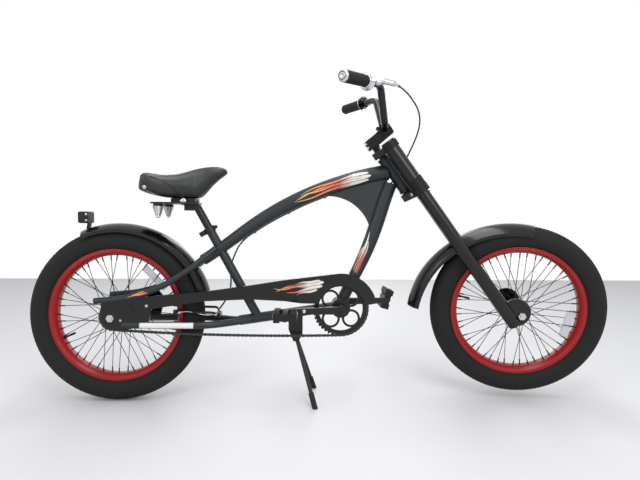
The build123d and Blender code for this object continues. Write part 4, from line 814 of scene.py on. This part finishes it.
def saddle_rivets():
    """The rivets at the saddle's rear corners and the bright ends of the clamp's bolt."""
    cover, chassis = surface_tree(saddle), surface_tree(nodes["saddle_chassis"])
    rivet = lathe([(0, 0.0016), (0.0028, 0.0015), (0.0052, 0.0009), (0.0062, 0), (0.0062, -0.002)], 24)
    bolt_end = lathe([(0, 0.0030), (0.0060, 0.0030), (0.0092, 0.0018), (0.0105, 0), (0.0105, -0.002)], 28)
    clamp_x, clamp_z = 0.2151 - BASE / 2, 0.6345
    grids = []
    for side in (-1, 1):
        spot, normal = meet(cover, (0.1167 - BASE / 2, side * 0.3, 0.6720), (0, -side, 0))
        grids.append(place(rivet, toward(normal), spot))
        face, _ = meet(chassis, (clamp_x, side * 0.3, 0.6320), (0, -side, 0))
        grids.append(place(bolt_end, toward((0, side, 0)), (clamp_x, face[1], clamp_z)))
    made = mesh("saddle_rivets", *together(grids), steel, "frame")


saddle_rivets()


def brake_wires():
    """The bright wire that draws the rear brake's arm on the right side, with the pinch bolt at each end."""
    control = np.array([(0.3135, -0.030, 0.2790), (0.2960, -0.038, 0.2770), (0.2740, -0.046, 0.2810),
                        (0.2480, -0.051, 0.2890), (0.2250, -0.052, 0.2930), (0.2060, -0.051, 0.2890)])
    control[:, 0] -= BASE / 2
    wire = sweep(spline_points("brake_wire", control), 0.0011, 8)
    screw = lathe([(0, 0.0060), (0.0030, 0.0060), (0.0042, 0.0050), (0.0042, -0.0030), (0, -0.0030)], 20)
    screws = [place(screw, toward((0, -1, 0)), spot) for spot in (control[0], control[-1])]
    made = mesh("brake_wires", *together([wire, *screws]), steel, "frame")
    crease(made, 40)


brake_wires()


def soft_box(size, power=0.2, rows=20, sides=28):
    """A block with rounded edges: a sphere's grid pushed out to its box, the more the lower the power."""
    up = np.linspace(-np.pi / 2, np.pi / 2, rows)[:, None]
    a = circle(sides)

    def push(value):
        return np.sign(value) * np.abs(value) ** power

    across = push(np.cos(up))
    block = np.stack([across * push(np.cos(a)), across * push(np.sin(a)), push(np.sin(up)) + 0 * a], -1)
    return block * np.array(size) / 2


def tail_reflector():
    """The tail reflector: a shallow black housing with a clear lens looking back, on a thin bolted foot."""
    centre = np.array([-0.0985 - BASE / 2, 0, 0.5815])
    housing = centre + soft_box((0.030, 0.056, 0.037), 0.22)
    foot = place(soft_box((0.006, 0.022, 0.036)), turn("Y", math.radians(10)), centre + (0.009, 0, -0.026))
    made = mesh("tail_reflector_housing", *together([housing, foot]), plastic, "frame")
    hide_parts("rear_reflector")
    pane = centre + (-0.0142, 0, 0) + soft_box((0.004, 0.048, 0.029))
    lens = mesh("tail_reflector_lens", *together([pane]), clear, "frame")
    heads = [place(bolt_head(0.0034, 0.0026), toward((0, -1, 0)), centre + (0.0115, -0.0278, rise))
             for rise in (0.0095, -0.0095)]
    screws = mesh("tail_reflector_screws", *together(heads), steel, "frame")


tail_reflector()


# Grips: a bell of polished metal inboard of each grip and a domed cap on the bar's end


def bar_end(side):
    """Where the bar ends on a side, and the way that it points there, in the bar's frame."""
    shoulder, end = np.array([0.102, side * 0.128, 0.241]), np.array([0.009, side * 0.291, 0.297])
    return end, (end - shoulder) / np.linalg.norm(end - shoulder)


def grip_metal():
    """Both bells and both caps, turned about the bar's ends; heights are measured outward along the bar."""
    bell = lathe([
        (0.0118, 0.0058), (0.0170, 0.0058), (0.0180, 0.0040), (0.0196, 0.0008), (0.0222, -0.0032),
        (0.0248, -0.0056), (0.0259, -0.0064), (0.0260, -0.0076), (0.0250, -0.0080), (0.0236, -0.0070),
        (0.0206, -0.0036), (0.0176, 0.0006), (0.0150, 0.0030), (0.0118, 0.0034), (0.0118, 0.0058),
    ], 56)
    cap = lathe([
        (0, -0.0040), (0.0042, -0.0040), (0.0044, -0.0010), (0.0062, -0.0002), (0.0090, -0.0004),
        (0.0125, -0.0014), (0.0152, -0.0032), (0.0166, -0.0052), (0.0170, -0.0068), (0, -0.0068),
    ], 48)
    grids = []
    for side in (-1, 1):
        end, out = bar_end(side)
        grids.append(place(place(bell, toward(out), end - out * 0.118), BAR, HEAD))
        grids.append(place(place(cap, toward(out), end), BAR, HEAD))
    made = mesh("grip_bells_and_caps", *together(grids), chrome, "steering")
    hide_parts("grip_metal")


grip_metal()


def grip_sleeves():
    """Each grip: a rubber sleeve with shallow rings and a raised collar at both ends."""
    bore, long, ribs = 0.0112, 0.1048, 22
    along = np.linspace(0, 1, 90)
    radius = 0.0162 + 0.0006 * (np.sin(along * 2 * np.pi * ribs) > 0.2)
    radius = np.where((along < 0.06) | (along > 0.94), 0.0170, radius)
    skin = np.column_stack([radius, along * long])
    profile = np.concatenate([[(bore, 0)], skin, [(bore, long), (bore, 0)]])
    grids = []
    for side in (-1, 1):
        end, out = bar_end(side)
        grids.append(place(place(lathe(profile, 40), toward(out), end - out * 0.1119), BAR, HEAD))
    made = mesh("grip_sleeves", *together(grids), rubber, "steering")
    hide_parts("grips")


grip_sleeves()


# Cranks and chainring; both faces are measured from the middle plane

ARM_FACE, BOSS_FACE = 0.0863, 0.0875


def hull_ring(length, near, far, count=22):
    """The outline round two circles a length apart along X, one round each end."""
    lean = math.asin((near - far) / length)
    back = np.linspace(math.pi / 2 - lean, 3 * math.pi / 2 + lean, count)
    front = np.linspace(-math.pi / 2 + lean, math.pi / 2 - lean, count)
    first = np.stack([near * np.cos(back), near * np.sin(back)], -1)
    second = np.stack([length + far * np.cos(front), far * np.sin(front)], -1)
    return np.concatenate([first, second])


def arm_grid(length, near, far, low, high, bevel=0.0022):
    """A flat tapering arm along X, thick in Y, with bevelled edges: its outline at several depths, drawn in
    to its middle on both faces."""
    rows = []
    for y, less in ((low, 1), (low, bevel), (low + bevel, 0), (high - bevel, 0), (high, bevel), (high, 1)):
        ring = hull_ring(length, max(near - less, 1e-5), max(far - less, 0.9e-5))
        rows.append(np.stack([ring[:, 0], np.full(len(ring), y), ring[:, 1]], -1))
    return np.stack(rows)


def cranks():
    """Both tapering arms, each with its round boss at the axle."""
    radius, bevel = 0.0150, 0.0012
    grids = []
    for side, lean, boss_foot in ((-1, 180 - 1.5, 0.0480), (1, -1.5, 0.0430)):
        arm = arm_grid(0.170, 0.0125, 0.0085, *sorted((side * 0.0743, side * ARM_FACE)))
        grids.append(place(arm, turn("Y", math.radians(lean)), CRANK_CENTRE))
        boss = [(0, boss_foot), (radius - bevel, boss_foot), (radius, boss_foot + 0.001), (radius, 0.0860),
                (radius - bevel, BOSS_FACE), (0, BOSS_FACE)]
        grids.append(place(lathe(boss, 40), toward((0, side, 0)), CRANK_CENTRE))
    made = mesh("crank_arms", *together(grids), black_steel, "crank")
    crease(made, 30)
    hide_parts("crank")


cranks()


def crank_bolt_and_caps():
    """A bright bolt on the right arm toward its pedal, and a black cap over the axle in each boss."""
    cap = lathe([(0, 0.0016), (0.0040, 0.0016), (0.0052, 0.0010), (0.0056, 0), (0.0056, -0.002)], 28)
    bolt = place(cap, toward((0, -1, 0)), (0.5913 - BASE / 2, -ARM_FACE, 0.2992))
    made = mesh("arm_bolt", *together([bolt]), steel, "crank")
    caps = [place(cap, toward((0, side, 0)), CRANK_CENTRE + (0, side * BOSS_FACE, 0)) for side in (-1, 1)]
    made = mesh("axle_caps", *together(caps), plastic, "crank")


crank_bolt_and_caps()


def pedal_trim():
    """An amber reflector in a low frame on the front and the rear edge of each pedal."""
    for name, tilt, centre in (
        ("pedal_right", 0, (-0.103442, -0.1353, 0.29755)),
        ("pedal_left", 72, (0.236442, 0.1353, 0.30645)),
    ):
        matrix = turn("Y", math.radians(-tilt))
        frame_block, lens_block = soft_box((0.0040, 0.060, 0.0175)), soft_box((0.0030, 0.050, 0.0125))
        frames = [place(frame_block + (end * 0.0332, 0, 0), matrix, centre) for end in (-1, 1)]
        lenses = [place(lens_block + (end * 0.0347, 0, 0), matrix, centre) for end in (-1, 1)]
        made = mesh(f"{name}_frames", *together(frames), plastic, name)
        mesh(f"{name}_lenses", *together(lenses), amber, name)


pedal_trim()


def disc_ring(inner, outer, thick, sides):
    """A flat ring about Y with softened edges, from an inner radius to an outer one; the outer may be one
    number per side of the ring."""
    a = circle(sides)
    soft, half = 0.0005, thick / 2
    rows = [(inner + soft, -half), (outer - soft, -half), (outer, soft - half), (outer, half - soft),
            (outer - soft, half), (inner + soft, half), (inner, half - soft), (inner, soft - half),
            (inner + soft, -half)]
    return np.stack([np.stack([r * np.cos(a), np.full(sides, y), r * np.sin(a)], -1) for r, y in rows])


def chainring():
    """A toothed rim, four round windows with wide bands and a middle disc."""
    centre = CRANK_CENTRE + (0, CHAIN_LINE, 0)
    steps = 10
    phase = (np.arange(CHAINRING_TEETH * steps) % steps) / steps
    tooth = np.clip((0.5 - np.abs(phase - 0.5)) * 3.4, 0, 1)
    root = pitch_radius(CHAINRING_TEETH) - 0.0036
    grids = [disc_ring(0.0690, root + 0.0060 * tooth, 0.0022, len(phase))]
    for angle in np.radians(45 + np.arange(4) * 90 + 1.5):
        window = 0.0450 * np.array([math.cos(angle), 0, math.sin(angle)])
        grids.append(window + disc_ring(0.0212, 0.0285, 0.0026, 64))
    grids.append(disc_ring(0.0140, 0.0300, 0.0030, 64))
    made = mesh("chainring_plate", *together([centre + grid for grid in grids]), black_steel, "crank")
    crease(made, 30)
    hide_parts("chainring")


chainring()


# Painted flames and the blank label: thin films laid on the frame


def flame_paint(name, start, end, stops):
    """Colours that follow a line from start to end in object coordinates, dark along each tongue's edge and
    pale along its middle, where the tongue's own UV says so."""
    made = bpy.data.materials.new(name)
    made.use_nodes = True
    tree = made.node_tree
    shade = tree.nodes["Principled BSDF"]
    new, link = tree.nodes.new, tree.links.new
    where, chart = new("ShaderNodeTexCoord"), new("ShaderNodeUVMap")
    chart.uv_map = "UVMap"
    start, end = np.array(start, float), np.array(end, float)
    way = (end - start) / ((end - start) @ (end - start))
    dot = new("ShaderNodeVectorMath")
    dot.operation = "DOT_PRODUCT"
    dot.inputs[1].default_value = tuple(way)
    link(where.outputs["Object"], dot.inputs[0])
    ramp = new("ShaderNodeValToRGB")
    link(math_node(tree, "SUBTRACT", dot.outputs["Value"], float(start @ way)), ramp.inputs["Fac"])
    while len(ramp.color_ramp.elements) < len(stops):
        ramp.color_ramp.elements.new(0.5)
    for element, (at, color) in zip(ramp.color_ramp.elements, stops):
        element.position = at
        element.color = (*color, 1)
    split = new("ShaderNodeSeparateXYZ")
    link(chart.outputs["UV"], split.inputs[0])
    off_middle = math_node(tree, "ABSOLUTE", math_node(tree, "SUBTRACT", split.outputs["Y"], 0.5))

    def band(low, high, color, below, amount):
        reach = new("ShaderNodeMapRange")
        for label, value in (("From Min", low), ("From Max", high), ("To Max", amount)):
            reach.inputs[label].default_value = value
        link(off_middle, reach.inputs["Value"])
        mix = new("ShaderNodeMix")
        mix.data_type = "RGBA"
        mix.inputs["B"].default_value = (*color, 1)
        link(reach.outputs["Result"], mix.inputs["Factor"])
        link(below, mix.inputs["A"])
        return mix.outputs["Result"]

    pale, dark = (0.95, 0.82, 0.60), (0.035, 0.004, 0.003)
    inside = band(0.16, 0.02, pale, ramp.outputs["Color"], 0.55)
    link(band(0.33, 0.42, dark, inside, 1.0), shade.inputs["Base Color"])
    shade.inputs["Roughness"].default_value = 0.32
    shade.inputs["Coat Weight"].default_value = 0.2
    return made


def tongue(root, tip, width, sway, n=44, m=9):
    """A flame tongue in X and Z: a leaf whose width swells near the root and runs out to the tip, on a line
    that sways."""
    s = np.linspace(0, 1, n)
    root, tip = np.array(root, float), np.array(tip, float)
    along = tip - root
    square = np.array([-along[1], along[0]]) / np.linalg.norm(along)
    line = root + s[:, None] * along + square * (sway * np.sin(2.2 * np.pi * s) * s)[:, None]
    half = width * np.sin(np.pi * s**0.5) ** 0.8 + 0.00012
    across = np.linspace(-1, 1, m)
    return line[:, None] + square * (half[:, None] * across)[..., None]


def film(name, node, side, shapes, material):
    """Flat shapes in X and Z laid on the face of one of the frame's nodes along Y, each a hair above the
    last, with a thin edge."""
    lift, hair, thick, widest = 0.0004, 0.00008, 0.0003, 0.15
    n, m = shapes[0].shape[:2]
    i, j = np.meshgrid(np.arange(n - 1), np.arange(m - 1), indexing="ij")
    one = np.stack([i * m + j, (i + 1) * m + j, (i + 1) * m + j + 1, i * m + j + 1], -1).reshape(-1, 4)
    u = np.stack([i, i + 1, i + 1, i], -1).reshape(-1) / (n - 1)
    v = np.stack([j, j, j + 1, j + 1], -1).reshape(-1) / (m - 1)
    points, faces = [], []
    for k, shape in enumerate(shapes):
        turned = (shape if flat_turn(shape) == side else shape[:, ::-1]).reshape(-1, 2)
        points.append(np.column_stack([turned[:, 0], np.full(n * m, side * 0.2), turned[:, 1]]))
        faces.append(one + k * n * m)
    uv = (np.tile(u, len(shapes)), np.tile(v, len(shapes)))
    sheet = mesh(name, np.concatenate(points), np.concatenate(faces), material, None, uv=uv, shut=False)
    wrap = sheet.modifiers.new("lay", "SHRINKWRAP")
    wrap.target = nodes[node]
    wrap.wrap_method = "PROJECT"
    wrap.use_project_y = True
    wrap.use_negative_direction = wrap.use_positive_direction = True
    wrap.offset = lift
    apply_modifiers(sheet)
    laid = corners(sheet.data)
    laid[:, 1] += side * hair * np.repeat(np.arange(len(shapes)), n * m)
    missed = int((np.abs(laid[:, 1]) > widest).sum())
    if missed:
        raise ValueError(f"{missed} points of {name} lie beside {node}")
    sheet.data.vertices.foreach_set("co", laid.ravel())
    edge = sheet.modifiers.new("edge", "SOLIDIFY")
    edge.thickness = thick
    edge.offset = -1
    apply_modifiers(sheet)
    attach(sheet, "frame")


def flat_turn(shape):
    """+1 or -1: the way along Y that the faces of a flat grid in X and Z look."""
    du, dv = shape[1, 0] - shape[0, 0], shape[0, -1] - shape[0, 0]
    if np.linalg.norm(dv) < 1e-9:
        dv = shape[len(shape) // 2, -1] - shape[len(shape) // 2, 0]
    return 1 if du[1] * dv[0] - du[0] * dv[1] > 0 else -1


# The beam's middle line as rows of X from the rear axle and height
BEAM_MIDDLE = [(0.540, 0.6270), (0.590, 0.6510), (0.640, 0.6705), (0.690, 0.6890), (0.735, 0.7050),
               (0.780, 0.7165), (0.820, 0.7255)]


def from_axle(shape):
    """A shape drawn from the rear axle, moved to the world's X."""
    return shape - np.array([BASE / 2, 0])


def on_beam(shape):
    """Lifts a shape drawn about the beam's middle line, X from the rear axle, to the beam in the world."""
    middle = np.interp(shape[..., 0], *np.transpose(BEAM_MIDDLE))
    return from_axle(np.stack([shape[..., 0], middle + shape[..., 1]], -1))


WHITE, YELLOW, ORANGE = (0.80, 0.78, 0.74), (0.80, 0.48, 0.07), (0.75, 0.17, 0.02)
RED, DEEP_RED = (0.42, 0.020, 0.012), (0.16, 0.01, 0.008)
beam_fire = flame_paint("beam_flames", (0.800 - BASE / 2, 0, 0), (0.560 - BASE / 2, 0, 0),
                        [(0, WHITE), (0.22, WHITE), (0.42, RED), (0.68, ORANGE), (0.92, YELLOW)])
tube_fire = flame_paint("tube_flames", (0, 0, 0.545), (0, 0, 0.405),
                        [(0, WHITE), (0.35, WHITE), (0.62, RED), (0.85, RED), (1.0, DEEP_RED)])
guard_fire = flame_paint("guard_flames", (0.655 - BASE / 2, 0, 0), (0.495 - BASE / 2, 0, 0),
                         [(0, WHITE), (0.30, WHITE), (0.55, RED), (0.78, ORANGE), (0.95, YELLOW)])
stay_fire = flame_paint("stay_flames", (0.115 - BASE / 2, 0, 0), (0.050 - BASE / 2, 0, 0),
                        [(0, RED), (0.35, ORANGE), (1, ORANGE)])
# Rows of a tongue's root and tip, its width and how far it sways
BEAM_TONGUES = [
    ((0.800, -0.001), (0.572, 0.002), 0.0095, 0.006), ((0.792, 0.010), (0.640, 0.014), 0.0058, -0.005),
    ((0.794, -0.012), (0.600, -0.013), 0.0062, 0.004), ((0.742, 0.013), (0.575, 0.012), 0.0042, 0.005),
    ((0.735, -0.012), (0.560, -0.007), 0.0050, -0.006), ((0.690, 0.003), (0.558, 0.000), 0.0046, 0.006),
    ((0.770, 0.002), (0.670, 0.006), 0.0036, -0.004),
]
TUBE_TONGUES = [
    ((0.7520, 0.4100), (0.8000, 0.5430), 0.0070, 0.003), ((0.7470, 0.4180), (0.7820, 0.5000), 0.0042, -0.003),
    ((0.7620, 0.4150), (0.7970, 0.5120), 0.0045, 0.003), ((0.7570, 0.4060), (0.7760, 0.4700), 0.0036, 0.002),
]
GUARD_TONGUES = [
    ((0.652, 0.3880), (0.503, 0.3600), 0.0085, 0.006), ((0.648, 0.3760), (0.536, 0.3520), 0.0062, -0.004),
    ((0.640, 0.3930), (0.560, 0.3790), 0.0046, 0.004), ((0.632, 0.3640), (0.566, 0.3480), 0.0042, 0.003),
    ((0.600, 0.3760), (0.497, 0.3640), 0.0044, -0.005),
]
STAY_TONGUES = [((0.1140, 0.3540), (0.0520, 0.3385), 0.0036, 0.002),
                ((0.1040, 0.3572), (0.0680, 0.3470), 0.0022, -0.001)]


def tongues(rows, laid=from_axle):
    """The shapes that a table of tongues draws, moved to their place."""
    return [laid(tongue(*row)) for row in rows]


def label():
    """The blank label on the right chain stay: a plain strip wrapped on the tube's outer face."""
    along, across = np.meshgrid(np.linspace(0, 1, 30), np.linspace(-1, 1, 9), indexing="ij")
    rear, long, height, half_tall = 0.088, 0.164, 0.2515, 0.0088
    return from_axle(np.stack([rear + long * along, height + half_tall * across], -1))


for side, where in ((-1, "right"), (1, "left")):
    film(f"beam_flames_{where}", "spine", side, tongues(BEAM_TONGUES, on_beam), beam_fire)
    film(f"tube_flames_{where}", "spine", side, tongues(TUBE_TONGUES), tube_fire)
film("guard_flames", "chain_guard", -1, tongues(GUARD_TONGUES), guard_fire)
film("blank_label", "stays", -1, [label()], label_white)
film("stay_flames", "stays", -1, tongues(STAY_TONGUES), stay_fire)


# Stage, light and camera

floor_data = bpy.data.meshes.new("floor")
floor_data.from_pydata([(-4.5, -4, 0), (4.5, -4, 0), (4.5, 3, 0), (-4.5, 3, 0)], [], [(0, 1, 2, 3)])
floor = bpy.data.objects.new("floor", floor_data)
bpy.context.scene.collection.objects.link(floor)
floor_data.materials.append(finish("pale_floor", (0.80, 0.80, 0.81), 0.5, bump=0.0, lift=1.02))


def lamp(name, where, aim, size, power, color=(1, 1, 1)):
    """A square area lamp turned to face a point."""
    data = bpy.data.lights.new(name, "AREA")
    data.shape = "RECTANGLE"
    data.size, data.size_y = size
    data.energy = power
    data.color = color
    thing = bpy.data.objects.new(name, data)
    rotation = toward(np.array(where) - np.array(aim))
    thing.matrix_world = Matrix.Translation(where) @ Matrix(rotation.tolist()).to_4x4()
    bpy.context.scene.collection.objects.link(thing)


lamp("overhead", (0.1, -0.5, 2.9), (0, 0, 0.4), (3.6, 1.1), 52)
lamp("window_right", (1.6, -3.2, 1.9), (0.1, 0, 0.5), (2.2, 1.6), 39, (0.97, 0.985, 1.0))
lamp("window_left", (-2.6, -2.6, 1.7), (-0.1, 0, 0.5), (1.6, 1.6), 22, (1.0, 0.985, 0.96))
lamp("behind", (0.2, 2.6, 2.2), (0, 0, 0.5), (3.0, 1.0), 22)


def room():
    """A cool soft light all round that the camera, reflections and clear pieces see as plain white."""
    world = bpy.data.worlds.new("room")
    bpy.context.scene.world = world
    world.use_nodes = True
    tree = world.node_tree
    tree.nodes.clear()
    output, rays = tree.nodes.new("ShaderNodeOutputWorld"), tree.nodes.new("ShaderNodeLightPath")
    switch = tree.nodes.new("ShaderNodeMixShader")
    for socket, color, strength in ((1, (0.93, 0.95, 1.0, 1), 0.42), (2, (1, 1, 1, 1), 1.0)):
        light = tree.nodes.new("ShaderNodeBackground")
        light.inputs["Color"].default_value = color
        light.inputs["Strength"].default_value = strength
        tree.links.new(light.outputs[0], switch.inputs[socket])
    plain = rays.outputs["Is Camera Ray"]
    for kind in ("Is Glossy Ray", "Is Transmission Ray"):
        plain = math_node(tree, "MAXIMUM", plain, rays.outputs[kind])
    tree.links.new(plain, switch.inputs["Fac"])
    tree.links.new(switch.outputs[0], output.inputs["Surface"])


room()


def set_camera():
    """A camera at the photograph's viewing place, with its turn about Z, down and about its line of sight."""
    yaw, pitch, roll = 0.0293, 0.0476, 0.0075
    focal_pixels, picture_width, sensor = 487.8, 640, 36
    ahead = np.array([math.sin(yaw) * math.cos(pitch), math.cos(yaw) * math.cos(pitch), -math.sin(pitch)])
    level_right = np.array([math.cos(yaw), -math.sin(yaw), 0])
    level_up = np.cross(level_right, ahead)
    right = level_right * math.cos(roll) + level_up * math.sin(roll)
    up = level_up * math.cos(roll) - level_right * math.sin(roll)
    view = bpy.data.cameras.new("camera")
    view.sensor_width = sensor
    view.lens = focal_pixels * sensor / picture_width
    camera = bpy.data.objects.new("camera", view)
    pose = np.eye(4)
    pose[:3, :3] = np.column_stack([right, up, -ahead])
    pose[:3, 3] = (-0.0443, -1.5638, 0.5887)
    camera.matrix_world = Matrix(pose.tolist())
    bpy.context.scene.collection.objects.link(camera)
    bpy.context.scene.camera = camera


set_camera()
bpy.context.scene.view_settings.view_transform = "Standard"
